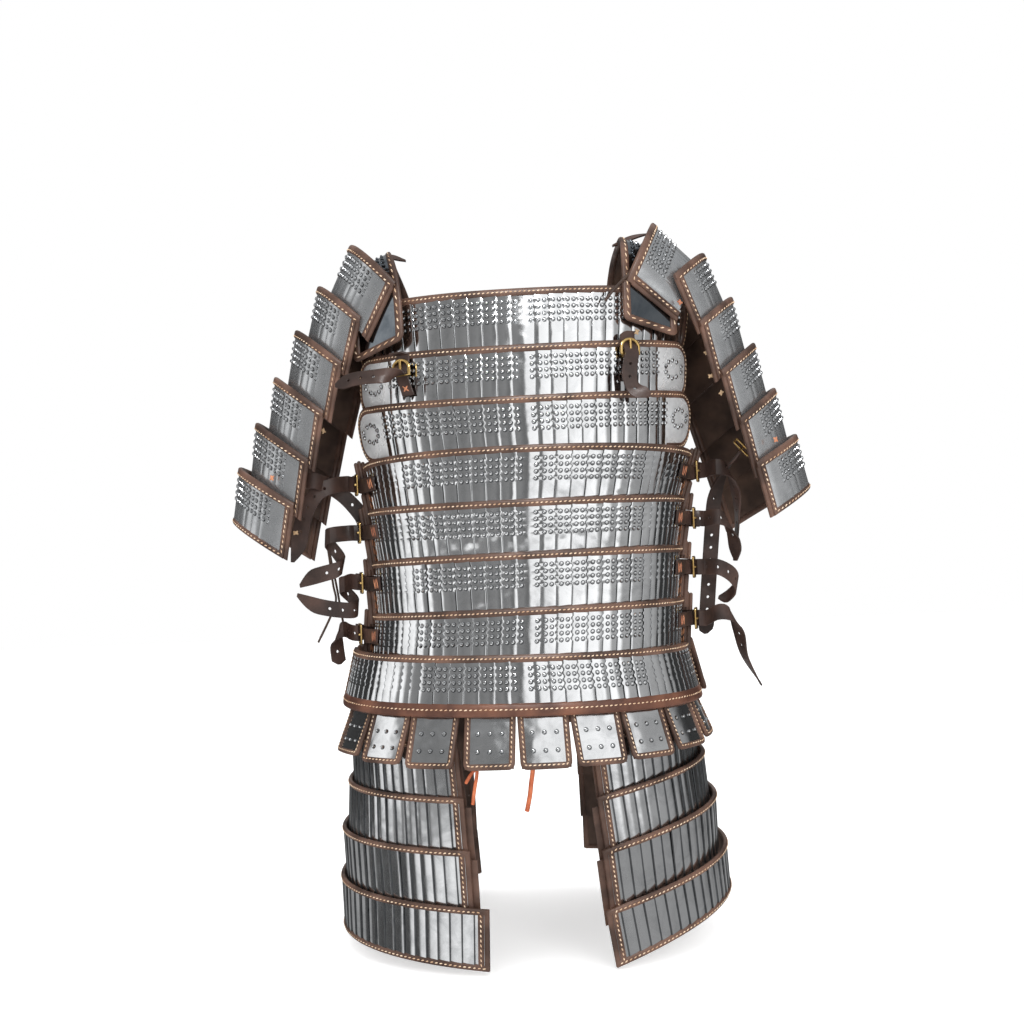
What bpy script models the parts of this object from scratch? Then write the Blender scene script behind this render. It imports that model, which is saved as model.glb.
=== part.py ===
"""A lamellar armour: rows of steel plates on leather bands, worn form.

Millimetres in the tables, metres in the model. +Z is up, the front faces -Y, and the origin is
where the shoulders hold it up. Left and right are the viewer's, so left is -X.
"""

import math
from collections import namedtuple
from functools import lru_cache

import bmesh
import bpy
from mathutils import Vector

MM = 0.001

# Driving sizes
WALL = 3.0              # leather band with the steel plates riveted on it
STRAP_WALL = 2.4        # strap leather
BODY_ROUNDNESS = 2.3    # 2 is an ellipse, more is squarer
ROW_COLUMNS = 18        # facets along one row
SMALL_CORNER = 8.0      # a row corner no larger than this is one flat cut
SKIRT_COLUMNS = 18
LAME_COLUMNS = 14
BUCKLE_DROP = 27.0      # side buckle below its row's upper edge
FRAME_WIRE = 2.6        # brass frame, thick

Row = namedtuple("Row", "top half_width half_depth shift low low_width low_depth low_shift"
                 " rise tilt end_depth corner")

# One line for each row of the front and back, from the chest down. The sizes are at the upper
# edge and at the lower edge, which lies inside the next row; shift is how far the row sits to
# the right, rise how much higher both ends are than the middle, tilt how much the right end is
# up and the left end down, and end_depth how far the row's ends stay from the side line.
BODY_ROWS = [
    Row(-80, 209, 128, 4, -160, 196.5, 132.5, 2.7, 2, 3, 34, 30),
    Row(-148, 203, 138, 3, -221, 199.5, 140.5, 1.4, 8, 3, 42, 27),
    Row(-209, 207, 147, 1, -279, 198.5, 145, 3.3, 8, 2.5, 38, 31),
    Row(-267, 207, 152, 4, -342, 189.5, 146, -0.8, -5, 0.5, 22, 3),
    Row(-330, 199.5, 153, 0, -403, 188.5, 146.3, -1.3, 1, 1.5, 22, 3),
    Row(-391, 195.5, 153, -1, -468, 189.5, 148.8, -2.9, -2, 3, 22, 3),
    Row(-456, 195.5, 154, -2, -521, 196, 158.5, -7, -2, 3, 22, 3),
    Row(-509, 209.5, 164, -14, -577, 226.5, 174, -14, 2, -4, 12, 5),
]

Skirt = namedtuple("Skirt", "top half_width half_depth shift rise front low low_width low_depth low_shift"
                   " low_rise low_front")

# One line for each skirt row, from the waist down. rise is how much higher the row's edge is at
# the side than in front; front is how far the front end stays from the middle.
SKIRT_ROWS = {
    "left": [
        Skirt(-607, 217, 162, -15, 0, 92, -680, 217.5, 164.5, -14, 4, 87),
        Skirt(-670, 223, 170, -14, 4, 87, -740, 228, 170.5, -13, 5, 84),
        Skirt(-729, 234, 176, -13, 5, 82, -806, 233, 174, -12, 11, 80),
        Skirt(-795, 239, 180, -12, 11, 62, -866, 242, 180, -8, 17, 64),
    ],
    "right": [
        Skirt(-607, 219, 162, -15, 10, 62, -686, 219, 164.5, -15, 26, 70),
        Skirt(-675, 226, 170, -14, 28, 66, -746, 230.5, 170.5, -13, 35, 74),
        Skirt(-735, 237, 176, -12, 35, 69, -814, 237, 174, -11, 42, 77),
        Skirt(-803, 244, 180, -8, 42, 70, -869, 247, 180, -8, 50, 80),
    ],
}
SKIRT_REAR = 75         # how far the skirt's rear ends stay from the middle of the back

Lame = namedtuple("Lame", "x z lean height radius depth low_radius low_depth droop front_turn rear_turn")

# One line for each lame of an upper arm, from the shoulder down: where the middle of its upper
# edge is, how far its wall leans from upright (degrees), how wide and deep it curves, how much
# its front and rear ends droop, and how far it turns round the arm to its two ends (degrees).
ARM_LAMES = {
    "left": [
        Lame(-209, 6, 30, 76, 82, 113, 77, 93, 26, 92, 92),
        Lame(-252, -43, 17, 74, 71, 98, 68, 85, 35, 90, 90),
        Lame(-283, -97, 14, 74, 74, 94, 71, 85, 36, 90, 92),
        Lame(-312, -155, 12, 74, 77, 94, 74, 86, 38, 90, 92),
        Lame(-338, -212, 11, 74, 82, 95, 79, 87, 39, 90, 92),
        Lame(-362, -268, 11, 69, 86, 96, 84, 89, 35, 90, 92),
    ],
    "right": [
        Lame(173, 18, 53, 76, 83, 121, 75, 90, 16, 98, 92),
        Lame(237, -22, 24, 75, 72, 105, 69, 87, 22, 80, 82),
        Lame(271, -77, 15, 75, 74, 95, 71, 85, 33, 79, 96),
        Lame(297, -136, 15, 74, 77, 95, 74, 86, 34, 79, 96),
        Lame(321, -194, 15, 74, 82, 95, 79, 87, 34, 79, 96),
        Lame(346, -254, 15, 69, 87, 96, 85, 89, 24, 80, 96),
    ],
}

Shoulder = namedtuple("Shoulder", "inner crest_inner outer crest outer_crest low outer_low depth outer_depth")

# The plate over each shoulder: how far out its inner edge is at its ends and at the crest, and its
# outer edge, then how high both edges are at the crest and at the ends.
SHOULDERS = {
    "left": Shoulder(-140, -158, -203, -10, -26, -139, -158, 118, 76),
    "right": Shoulder(124, 128, 190, -4, -22, -126, -142, 122, 84),
}
SHOULDER_SQUARENESS = 0.6   # 1 is a round arch, less is squarer

TAB_TOP = -557
TAB_BEND = -579         # where the tabs leave the last row's lower edge and swing out
TAB_LOW = -637
TAB_WIDTH = 58
TAB_PITCH = 60.5
TAB_OFFSET = 22.5       # how far the middle tab sits to the right of the front's middle
TAB_SPLIT = 5           # extra gap between the second and third tab on the left
TAB_RISE = 12           # how much higher the end tabs' lower edges are than the middle one's
TAB_CORNER = 6
TABS_ON_EACH_SIDE = 4   # besides the middle one
TAB_SHIFT = -15
TAB_SECTIONS = [(TAB_TOP, 215, 162), (TAB_BEND, 220, 166), (TAB_LOW, 239, 182)]

SIDE_BUCKLE_REACH = 225
SIDE_BUCKLE_DEPTH = -13

FINISHES = {
    "steel": ((0.62, 0.63, 0.64, 1.0), 1.0, 0.2),
    "strap_leather": ((0.05, 0.025, 0.018, 1.0), 0.0, 0.5),
    "brass": ((0.8, 0.58, 0.2, 1.0), 1.0, 0.25),
}


def mix(low, high, share):
    return low + (high - low) * share


def make_material(name, finish):
    colour, metallic, roughness = FINISHES[finish]
    material = bpy.data.materials.new(f"{name}_{finish}")
    material.use_nodes = True
    shader = material.node_tree.nodes["Principled BSDF"]
    shader.inputs["Base Color"].default_value = colour
    shader.inputs["Metallic"].default_value = metallic
    shader.inputs["Roughness"].default_value = roughness
    return material


def make_object(name, form, finish):
    mesh = bpy.data.meshes.new(name)
    form.to_mesh(mesh)
    form.free()
    mesh.shade_smooth()
    mesh.set_sharp_from_angle(angle=math.radians(40))
    mesh.materials.append(make_material(name, finish))
    piece = bpy.data.objects.new(name, mesh)
    bpy.context.collection.objects.link(piece)
    return piece


def make_wall(name, place, along, up, thickness, finish, gone=None):
    """A wall: a flat grid with its points laid by place(along, up), then given its thickness."""
    form = bmesh.new()
    bmesh.ops.create_grid(form, x_segments=len(along) - 1, y_segments=len(up) - 1, size=0.5)
    spots = {}
    for vert in form.verts:
        column = round((vert.co.x + 0.5) * (len(along) - 1))
        line = round((vert.co.y + 0.5) * (len(up) - 1))
        spots[vert] = (along[column], up[line])
    if gone:
        removed = []
        for face in form.faces:
            middle_along = sum(spots[vert][0] for vert in face.verts) / 4
            middle_up = sum(spots[vert][1] for vert in face.verts) / 4
            if gone(middle_along, middle_up):
                removed.append(face)
        bmesh.ops.delete(form, geom=removed, context="FACES")
    for vert in form.verts:
        vert.co = Vector(place(*spots[vert])) * MM
    piece = make_object(name, form, finish)
    wall = piece.modifiers.new("wall", "SOLIDIFY")
    wall.thickness = thickness * MM
    wall.offset = 0.0
    wall.use_even_offset = True
    return piece


# ---- the outline of the body: a rounded oblong, measured by its arc from the middle

@lru_cache(maxsize=None)
def quarter_arc(half_width, half_depth):
    """Arc lengths at equal steps of angle, from the middle of the front to the side."""
    steps = 180
    lengths = [0.0]
    before = outline_at_angle(0.0, half_width, half_depth)
    for step in range(1, steps + 1):
        spot = outline_at_angle(math.pi / 2 * step / steps, half_width, half_depth)
        lengths.append(lengths[-1] + math.dist(before, spot))
        before = spot
    return lengths


def outline_at_angle(angle, half_width, half_depth):
    power = 2 / BODY_ROUNDNESS
    return (half_width * math.sin(angle) ** power, -half_depth * max(0.0, math.cos(angle)) ** power)


def outline_at_arc(arc, half_width, half_depth):
    """The point at an arc length from the middle of the front; negative is to the left."""
    lengths = quarter_arc(half_width, half_depth)
    whole = lengths[-1]
    reach = min(abs(arc), 2 * whole)
    beyond = reach > whole
    target = 2 * whole - reach if beyond else reach
    step = next(i for i in range(1, len(lengths)) if lengths[i] >= target - 1e-9)
    share = (target - lengths[step - 1]) / (lengths[step] - lengths[step - 1])
    angle = math.pi / 2 * (step - 1 + share) / (len(lengths) - 1)
    x, y = outline_at_angle(angle, half_width, half_depth)
    return (math.copysign(x, arc), -y if beyond else y)


def arc_to_depth(depth, half_width, half_depth):
    """Arc from the middle of the front to where the outline is at this depth before the side."""
    angle = math.acos((depth / half_depth) ** (BODY_ROUNDNESS / 2))
    return arc_at_angle(angle, half_width, half_depth)


def arc_to_width(width, half_width, half_depth):
    """Arc from the middle of the front to where the outline is this far out."""
    angle = math.asin((width / half_width) ** (BODY_ROUNDNESS / 2))
    return arc_at_angle(angle, half_width, half_depth)


def arc_at_angle(angle, half_width, half_depth):
    lengths = quarter_arc(half_width, half_depth)
    place = angle / (math.pi / 2) * (len(lengths) - 1)
    step = min(int(place), len(lengths) - 2)
    return mix(lengths[step], lengths[step + 1], place - step)


# ---- rows of the front and the back

def corner_cut(distance_from_end, corner):
    """How much a rounded corner takes off the edge at this distance from the end."""
    if distance_from_end >= corner:
        return 0.0
    inside = corner - distance_from_end
    return corner - math.sqrt(max(0.0, corner * corner - inside * inside))


def row_stations(half_length, corner, columns):
    """Distances along a row: even ones between the corners, and some round each corner."""
    inner = half_length - corner
    even = [mix(-inner, inner, step / columns) for step in range(columns + 1)]
    turns = (30, 55, 75, 90) if corner > SMALL_CORNER else (90,)
    round_end = [inner + corner * math.sin(math.radians(turn)) for turn in turns]
    return [-spot for spot in reversed(round_end)] + even + round_end


def row_surface(row, back):
    """The row's middle surface: arc from its middle, and share of height from lower edge up."""
    middle_arc = quarter_arc((row.half_width + row.low_width) / 2, (row.half_depth + row.low_depth) / 2)[-1]
    half_length = row_half_length(row)

    def place(arc, share):
        half_width = mix(row.low_width, row.half_width, share)
        half_depth = mix(row.low_depth, row.half_depth, share)
        scale = quarter_arc(half_width, half_depth)[-1] / middle_arc
        x, y = outline_at_arc(arc * scale, half_width, half_depth)
        aside = arc / half_length
        z = mix(row.low, row.top, share) + row.rise * aside * aside + row.tilt * aside
        return (x + mix(row.low_shift, row.shift, share), -y if back else y, z)

    return place


def row_half_length(row):
    half_width = (row.half_width + row.low_width) / 2
    half_depth = (row.half_depth + row.low_depth) / 2
    return arc_to_depth(row.end_depth, half_width, half_depth)


def make_row(name, row, back):
    height = row.top - row.low
    half_length = row_half_length(row)
    surface = row_surface(row, back)

    def place(arc, share):
        cut = corner_cut(half_length - abs(arc), row.corner) / height
        return surface(arc, mix(cut, 1 - cut, share))

    make_wall(name, place, row_stations(half_length, row.corner, ROW_COLUMNS), (0.0, 1.0), WALL, "steel")


def make_body():
    for side, back in (("front", False), ("back", True)):
        for number, row in enumerate(BODY_ROWS, start=1):
            make_row(f"{side}_row_{number}", row, back)


# ---- the shoulder plates

def make_shoulder(side):
    plate = SHOULDERS[side]

    def place(share_out, turn):
        """turn goes from -90 at the front end, over the crest, to 90 at the rear end."""
        depth = mix(plate.depth, plate.outer_depth, share_out)
        crest = mix(plate.crest, plate.outer_crest, share_out)
        low = mix(plate.low, plate.outer_low, share_out)
        across = math.sin(math.radians(turn))
        rise = math.cos(math.radians(turn))
        x = mix(mix(plate.inner, plate.crest_inner, rise * rise), plate.outer, share_out)
        y = depth * math.copysign(abs(across) ** SHOULDER_SQUARENESS, across)
        return (x, y, low + (crest - low) * rise ** SHOULDER_SQUARENESS)

    turns = [mix(-90, 90, step / 16) for step in range(17)]
    make_wall(f"shoulder_{side}", place, (0.0, 0.5, 1.0), turns, WALL, "steel")


# ---- the lames of the upper arms

def lame_surface(side, lame):
    """The lame's middle surface: turn round the arm in degrees, and distance down its wall."""
    out = -1.0 if side == "left" else 1.0
    lean = math.radians(lame.lean)
    down = Vector((out * math.sin(lean), 0.0, -math.cos(lean)))
    outward = Vector((out * math.cos(lean), 0.0, math.sin(lean)))
    axis_top = Vector((lame.x, 0.0, lame.z)) - outward * lame.radius

    def place(turn, drop):
        angle = math.radians(turn)
        droop = lame.droop * (1 - math.cos(angle))
        depth = mix(lame.depth, lame.low_depth, drop / lame.height)
        radius = mix(lame.radius, lame.low_radius, drop / lame.height)
        spot = axis_top + down * (drop + droop) + outward * radius * math.cos(angle)
        return (spot.x, spot.y + depth * math.sin(angle), spot.z)

    return place


def make_lames(side):
    for number, lame in enumerate(ARM_LAMES[side], start=1):
        turns = [mix(-lame.front_turn, lame.rear_turn, step / LAME_COLUMNS)
                 for step in range(LAME_COLUMNS + 1)]
        make_wall(f"arm_{side}_{number}", lame_surface(side, lame), turns, (0.0, lame.height), WALL, "steel")


# ---- the tabs below the last row

def tab_section(z):
    for (top, wide, deep), (low, low_wide, low_deep) in zip(TAB_SECTIONS, TAB_SECTIONS[1:]):
        if z >= low:
            share = (top - z) / (top - low)
            return mix(wide, low_wide, share), mix(deep, low_deep, share)
    return TAB_SECTIONS[-1][1:]


def tab_middle(number):
    return number * TAB_PITCH + TAB_OFFSET - (TAB_SPLIT if number < -1 else 0)


def make_tabs(name, back):
    """A belt behind the last row's lower edge, cut into square tabs below it."""
    numbers = range(-TABS_ON_EACH_SIDE, TABS_ON_EACH_SIDE + 1)
    belt_arc = quarter_arc(*tab_section(TAB_BEND))[-1]
    stations = []
    for number in numbers:
        for offset in (-0.5, -0.5 + TAB_CORNER / TAB_WIDTH, 0.0, 0.5 - TAB_CORNER / TAB_WIDTH, 0.5):
            stations.append(number * TAB_PITCH + offset * TAB_WIDTH)

    def place(station, z):
        """Each tab keeps its width where the belt swings out, and its lower corners are cut."""
        number = max(-TABS_ON_EACH_SIDE, min(TABS_ON_EACH_SIDE, round(station / TAB_PITCH)))
        offset = station - number * TAB_PITCH
        half_width, half_depth = tab_section(z)
        scale = quarter_arc(half_width, half_depth)[-1] / belt_arc
        x, y = outline_at_arc(tab_middle(number) * scale + offset, half_width, half_depth)
        at_side = abs(abs(offset) - TAB_WIDTH / 2) < 0.01
        lift = 0.0
        if z == TAB_LOW:
            lift = TAB_RISE * (number / TABS_ON_EACH_SIDE) ** 2 + (TAB_CORNER if at_side else 0.0)
        return (x + TAB_SHIFT, -y if back else y, z + lift)

    def between_tabs(station, z):
        return z < TAB_BEND and abs(station - round(station / TAB_PITCH) * TAB_PITCH) > TAB_WIDTH / 2

    make_wall(name, place, stations, (TAB_LOW, TAB_BEND, TAB_TOP), WALL, "steel", between_tabs)


# ---- the skirt

def skirt_surface(side, skirt):
    """The skirt row's middle surface: share of its length from front to rear, and of its height."""
    out = -1.0 if side == "left" else 1.0

    def place(share_back, share_up):
        half_width = mix(skirt.low_width, skirt.half_width, share_up)
        half_depth = mix(skirt.low_depth, skirt.half_depth, share_up)
        shift = mix(skirt.low_shift, skirt.shift, share_up) * out
        whole = quarter_arc(half_width, half_depth)[-1]
        front = arc_to_width(mix(skirt.low_front, skirt.front, share_up) - shift, half_width, half_depth)
        rear = 2 * whole - arc_to_width(SKIRT_REAR, half_width, half_depth)
        arc = mix(front, rear, share_back)
        x, y = outline_at_arc(arc, half_width, half_depth)
        rise = math.sin(math.pi / 2 * min(1.0, (arc - front) / (whole - front)))
        z = mix(skirt.low + skirt.low_rise * rise, skirt.top + skirt.rise * rise, share_up)
        return (out * (x + shift), y, z)

    return place


def make_skirt(side):
    for number, skirt in enumerate(SKIRT_ROWS[side], start=1):
        shares = [step / SKIRT_COLUMNS for step in range(SKIRT_COLUMNS + 1)]
        make_wall(f"skirt_{side}_{number}", skirt_surface(side, skirt), shares, (0.0, 1.0), WALL, "steel")


# ---- straps and buckles

Fold = namedtuple("Fold", "x y z edge_x edge_y edge_z")


def smooth_path(folds, steps):
    """Points of an even curve through the folds, with the direction of the strap's width."""
    rows = [Vector(fold[:3]) for fold in folds]
    edges = [Vector(fold[3:]).normalized() for fold in folds]
    spots = []
    for index in range(len(rows) - 1):
        before = rows[max(0, index - 1)]
        start = rows[index]
        end = rows[index + 1]
        after = rows[min(len(rows) - 1, index + 2)]
        for step in range(steps):
            t = step / steps
            curve = (2 * start + (end - before) * t + (2 * before - 5 * start + 4 * end - after) * t * t
                     + (3 * start - before - 3 * end + after) * t * t * t) / 2
            spots.append((curve, edges[index].lerp(edges[index + 1], t).normalized()))
    spots.append((rows[-1], edges[-1]))
    return spots


def make_strap(name, folds, width, tip, steps=2, finish="strap_leather"):
    """A strap through its folds; tip is how long its point is, or 0 for a square end."""
    spots = smooth_path(folds, steps)
    lengths = [0.0]
    for (before, _), (spot, _) in zip(spots, spots[1:]):
        lengths.append(lengths[-1] + (spot - before).length)

    def place(index, share):
        spot, edge = spots[int(index)]
        left = lengths[-1] - lengths[int(index)]
        narrow = 1.0
        if tip and left < tip:
            narrow = mix(0.35, 1.0, left / tip)
        return spot + edge * (share - 0.5) * width * narrow

    return make_wall(name, place, list(range(len(spots))), (0.0, 1.0), STRAP_WALL, finish)


def make_frame(name, middle, along, across, reach, width):
    """A buckle's frame as a cutter-like guide: a flat ring round its opening."""
    wire = FRAME_WIRE
    stations = (-reach / 2 - wire, -reach / 2, reach / 2, reach / 2 + wire)
    lines = (-width / 2 - wire, -width / 2, width / 2, width / 2 + wire)
    middle = Vector(middle)
    along = Vector(along).normalized()
    across = Vector(across).normalized()

    def place(station, line):
        return middle + along * station + across * line

    def opening(station, line):
        return abs(station) < reach / 2 and abs(line) < width / 2

    ring = make_wall(name, place, stations, lines, wire, "brass", opening)
    ring.hide_render = True
    ring.display_type = "WIRE"
    return ring


def join(piece, ring):
    union = piece.modifiers.new("frame", "BOOLEAN")
    union.operation = "UNION"
    union.solver = "EXACT"
    union.object = ring


SIDE_STRAP_WIDTH = 20
FRAME_REACH = 14        # opening of a side buckle's frame along the strap
UP = (0, 0, 1)

# The free end of each side strap, from its buckle outwards, as it hangs.
FREE_ENDS = {
    "left": [
        [Fold(-243, -34, -297, 0, 0, 1), Fold(-262, -38, -306, -0.5, 0, 1), Fold(-278, -38, -330, -1, 0, 0.45),
         Fold(-287, -34, -362, -1, 0, 0.15), Fold(-291, -30, -392, -1, 0, 0.1)],
        [Fold(-247, -33, -359, 0, 0, 1), Fold(-256, -24, -363, 0.1, 0, 1), Fold(-248, -15, -376, 0.2, 0, 1),
         Fold(-236, -18, -394, 0.25, 0, 1), Fold(-240, -27, -402, 0.1, 0, 1), Fold(-262, -30, -408, -0.2, 0, 1),
         Fold(-292, -26, -415, -0.2, 0, 1)],
        [Fold(-233, -33, -421, 0, 0, 1), Fold(-240, -25, -424, 0, 0, 1), Fold(-230, -15, -436, 0.1, 0, 1),
         Fold(-219, -20, -450, 0.1, 0, 1), Fold(-226, -31, -455, 0, 0, 1), Fold(-258, -39, -450, 0.1, 0, 1),
         Fold(-294, -40, -439, 0.3, 0, 1)],
        [Fold(-236, -33, -478, 0, 0, 1), Fold(-245, -25, -484, 0.3, 0.4, 1), Fold(-248, -18, -500, 0.7, 0.6, 0.2),
         Fold(-246, -16, -524, 0.8, 0.6, 0)],
    ],
    "right": [
        [Fold(242, -33, -292, 0, 0, 1), Fold(257, -27, -297, -0.35, 0, 1), Fold(267, -15, -317, -0.6, 0.7, 0.7),
         Fold(271, -6, -350, -0.1, 1, 0.1), Fold(269, 0, -388, 0, 1, 0), Fold(266, 3, -412, 0, 1, 0)],
        [Fold(240, -33, -355, 0, 0, 1), Fold(254, -27, -362, -0.35, 0, 1), Fold(263, -18, -384, -0.7, 0.6, 0.4),
         Fold(264, -20, -412, -0.6, 0.8, 0)],
        [Fold(240, -33, -419, 0.1, 0, 1), Fold(258, -26, -430, 0.3, 0, 1), Fold(265, -12, -444, 0.2, 0, 1),
         Fold(256, 2, -457, 0.2, 0, 1), Fold(243, 5, -462, 0.3, 0, 1)],
        [Fold(238, -33, -475, 0, 0, 1), Fold(254, -29, -480, -0.3, 0.2, 1), Fold(264, -20, -502, -0.7, 0.9, 0.3),
         Fold(272, -14, -535, -0.2, 1, 0), Fold(293, -8, -573, 0.2, 1, 0.1)],
    ],
}
SIDE_STRAP_TIPS = {"left": (26, 22, 30, 0), "right": (20, 20, 20, 14)}


def stand_off(surface, arc, share, stand):
    """A point this far outside a row, with the ways out of it, along it and up its slope there."""
    spot = Vector(surface(arc, share))
    along = Vector(surface(arc + 2, share)) - Vector(surface(arc - 2, share))
    along.z = 0
    along.normalize()
    outward = Vector((along.y, -along.x, 0))
    if outward.x * spot.x + outward.y * spot.y < 0:
        outward.negate()
    slope = Vector(surface(arc, share + 0.1)) - Vector(surface(arc, share - 0.1))
    return spot + outward * stand, outward, along, slope.normalized()


def make_side_fastening(side, index):
    """A chape on the front row with its frame, and the strap from the back row through it."""
    out = -1.0 if side == "left" else 1.0
    row = BODY_ROWS[index + 3]
    z = row.top - BUCKLE_DROP
    share = (z - row.low) / (row.top - row.low)
    surface = row_surface(row, False)
    half_length = row_half_length(row)
    number = index + 1

    chape = []
    for distance, stand in ((50, 4.4), (36, 5.0), (22, 6.8), (10, 9.6)):
        spot, _, _, slope = stand_off(surface, out * (half_length - distance), share, stand)
        chape.append(Fold(*spot, *slope))
    target = Vector((out * SIDE_BUCKLE_REACH + row.shift * 0.6, SIDE_BUCKLE_DEPTH, z))
    along = (target - Vector(chape[-1][:3])).normalized()
    inner_bar = Vector(chape[-1][:3]) + along * 4
    middle = inner_bar + along * (FRAME_REACH + FRAME_WIRE) / 2
    chape.append(Fold(*(inner_bar + along * 0.6), *UP))
    buckle = make_strap(f"side_buckle_{side}_{number}", chape, SIDE_STRAP_WIDTH - 2, 0)
    join(buckle, make_frame(f"side_frame_{side}_{number}_guide", middle, along, UP, FRAME_REACH,
                            SIDE_STRAP_WIDTH + 1.5))

    outward = Vector((along.y, -along.x, 0)) * out
    back_row = row_surface(row, True)
    strap = []
    for distance in (24, 10, -6):
        spot, _, _, slope = stand_off(back_row, out * (half_length - distance), share, 4.4)
        strap.append(Fold(*spot, *slope))
    bar = middle + along * (FRAME_REACH + FRAME_WIRE) / 2
    turn = FRAME_WIRE / 2 + STRAP_WALL / 2 + 1.85
    strap += [
        Fold(*(bar - outward * turn + along * 7), *UP),
        Fold(*(bar - outward * (turn - 0.4) - along * 0.5), *UP),
        Fold(*(bar - along * turn), *UP),
        Fold(*(bar + outward * turn - along * 0.3), *UP),
        Fold(*(bar + outward * (turn + 2.0) + along * 7), *UP),
    ] + FREE_ENDS[side][index]
    make_strap(f"side_strap_{side}_{number}", strap, SIDE_STRAP_WIDTH, SIDE_STRAP_TIPS[side][index])


ShoulderFastening = namedtuple("ShoulderFastening", "x frame_z chape_z chape_x")
SHOULDER_FASTENINGS = {
    "left": ShoulderFastening(-139, -168, -200, -133),
    "right": ShoulderFastening(126, -158, -196, 125),
}
SHOULDER_STRAP_WIDTH = 19
SHOULDER_FRAME_REACH = 14

# Each shoulder strap from the plate's end down, then its free end past the frame.
SHOULDER_ENDS = {
    "left": [Fold(-152, -137, -177, 0.6, -0.2, 0.8), Fold(-171, -139, -178, 0, 0.45, 1),
             Fold(-197, -132, -179, 0, 0.5, 1), Fold(-222, -120, -184, 0, 0.4, 1)],
    "right": [Fold(126, -135, -182, 1, 0.3, 0), Fold(127, -136, -196, 1, 0.3, -0.1),
              Fold(134, -139, -207, 0.8, 0.1, 0.5), Fold(149, -141, -212, 0.2, -0.2, 1)],
}


def make_shoulder_fastening(side):
    """The strap that holds a shoulder plate down, and its chape and frame on the second row."""
    out = -1.0 if side == "left" else 1.0
    sizes = SHOULDER_FASTENINGS[side]
    row = BODY_ROWS[1]
    surface = row_surface(row, False)
    plate = SHOULDERS[side]

    def on_row(x, z, stand):
        share = min(1.0, (z - row.low) / (row.top - row.low))
        half_width = mix(row.low_width, row.half_width, share)
        half_depth = mix(row.low_depth, row.half_depth, share)
        arc = out * arc_to_width(abs(x) - out * row.shift, half_width, half_depth)
        return stand_off(surface, arc, share, stand)

    foot, outward, across, _ = on_row(sizes.chape_x, sizes.chape_z, 4.2)
    bar, outward, across, _ = on_row(sizes.x, sizes.frame_z - SHOULDER_FRAME_REACH / 2, 6.0)
    frame_middle = bar + Vector((0, 0, (SHOULDER_FRAME_REACH + FRAME_WIRE) / 2))
    chape = [Fold(*foot, *across), Fold(*((foot + bar) / 2 + outward * 0.3), *across),
             Fold(*(bar - Vector((0, 0, 0.8))), *across)]
    chape.reverse()
    buckle = make_strap(f"shoulder_buckle_{side}", chape, SHOULDER_STRAP_WIDTH - 2, 6)
    join(buckle, make_frame(f"shoulder_frame_{side}_guide", frame_middle + outward * 1.2, UP, across,
                            SHOULDER_FRAME_REACH, SHOULDER_STRAP_WIDTH + 1.5))

    top_x = plate.inner + out * (SHOULDER_STRAP_WIDTH / 2 + 1)
    share_out = (top_x - plate.inner) / (plate.outer - plate.inner)
    top = Vector((top_x, -mix(plate.depth, plate.outer_depth, share_out) - 0.6,
                  mix(plate.low, plate.outer_low, share_out) - WALL / 2 - 3))
    upper_bar = frame_middle + Vector((0, 0, (SHOULDER_FRAME_REACH + FRAME_WIRE) / 2)) + outward * 1.2
    clear = FRAME_WIRE / 2 + STRAP_WALL / 2 + 1.3
    strap = [
        Fold(*top, *across),
        Fold(*(upper_bar - outward * clear + Vector((0, 0, 8))), *across),
        Fold(*(upper_bar - outward * clear), *across),
        Fold(*(frame_middle + outward * 1.8), *across),
        Fold(*(bar + outward * (clear + 2.2)), *across),
    ] + SHOULDER_ENDS[side]
    make_strap(f"shoulder_strap_{side}", strap, SHOULDER_STRAP_WIDTH, 16)


def make_model():
    for item in list(bpy.data.objects):
        bpy.data.objects.remove(item, do_unlink=True)
    make_body()
    for side in ("left", "right"):
        make_shoulder(side)
        make_lames(side)
        make_skirt(side)
        for index in range(4):
            make_side_fastening(side, index)
        make_shoulder_fastening(side)
    make_tabs("tabs_front", False)
    make_tabs("tabs_back", True)


make_model()
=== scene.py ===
"""A coat of lamellar armour: polished steel plates on bound leather bands, in its worn form.

Sizes are in millimetres until a piece is laid in its place, which is in metres. Left and right
are the viewer's, so left is -X; the front faces -Y.
"""

import math
import random
from collections import namedtuple

import bmesh
import bpy
import numpy as np
from mathutils import Matrix, Vector


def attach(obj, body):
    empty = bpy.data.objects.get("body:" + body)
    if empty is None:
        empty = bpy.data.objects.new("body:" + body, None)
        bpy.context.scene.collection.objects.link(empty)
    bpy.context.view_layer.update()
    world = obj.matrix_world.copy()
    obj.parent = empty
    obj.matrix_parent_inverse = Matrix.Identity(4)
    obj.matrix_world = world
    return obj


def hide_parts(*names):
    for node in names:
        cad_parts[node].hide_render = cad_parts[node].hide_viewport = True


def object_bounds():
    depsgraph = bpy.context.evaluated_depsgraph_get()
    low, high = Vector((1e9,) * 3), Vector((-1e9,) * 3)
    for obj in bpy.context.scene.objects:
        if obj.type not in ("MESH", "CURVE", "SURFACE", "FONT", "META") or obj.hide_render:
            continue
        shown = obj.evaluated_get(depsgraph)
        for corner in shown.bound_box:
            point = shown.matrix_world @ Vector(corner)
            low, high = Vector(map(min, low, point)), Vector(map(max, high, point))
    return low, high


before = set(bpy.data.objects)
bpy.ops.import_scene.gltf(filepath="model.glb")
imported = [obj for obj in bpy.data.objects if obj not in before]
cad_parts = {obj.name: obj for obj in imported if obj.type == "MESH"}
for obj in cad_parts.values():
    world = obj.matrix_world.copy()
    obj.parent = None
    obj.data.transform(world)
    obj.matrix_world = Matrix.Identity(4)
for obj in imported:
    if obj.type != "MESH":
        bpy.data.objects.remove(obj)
cad_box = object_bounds()
MM = 0.001

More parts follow.
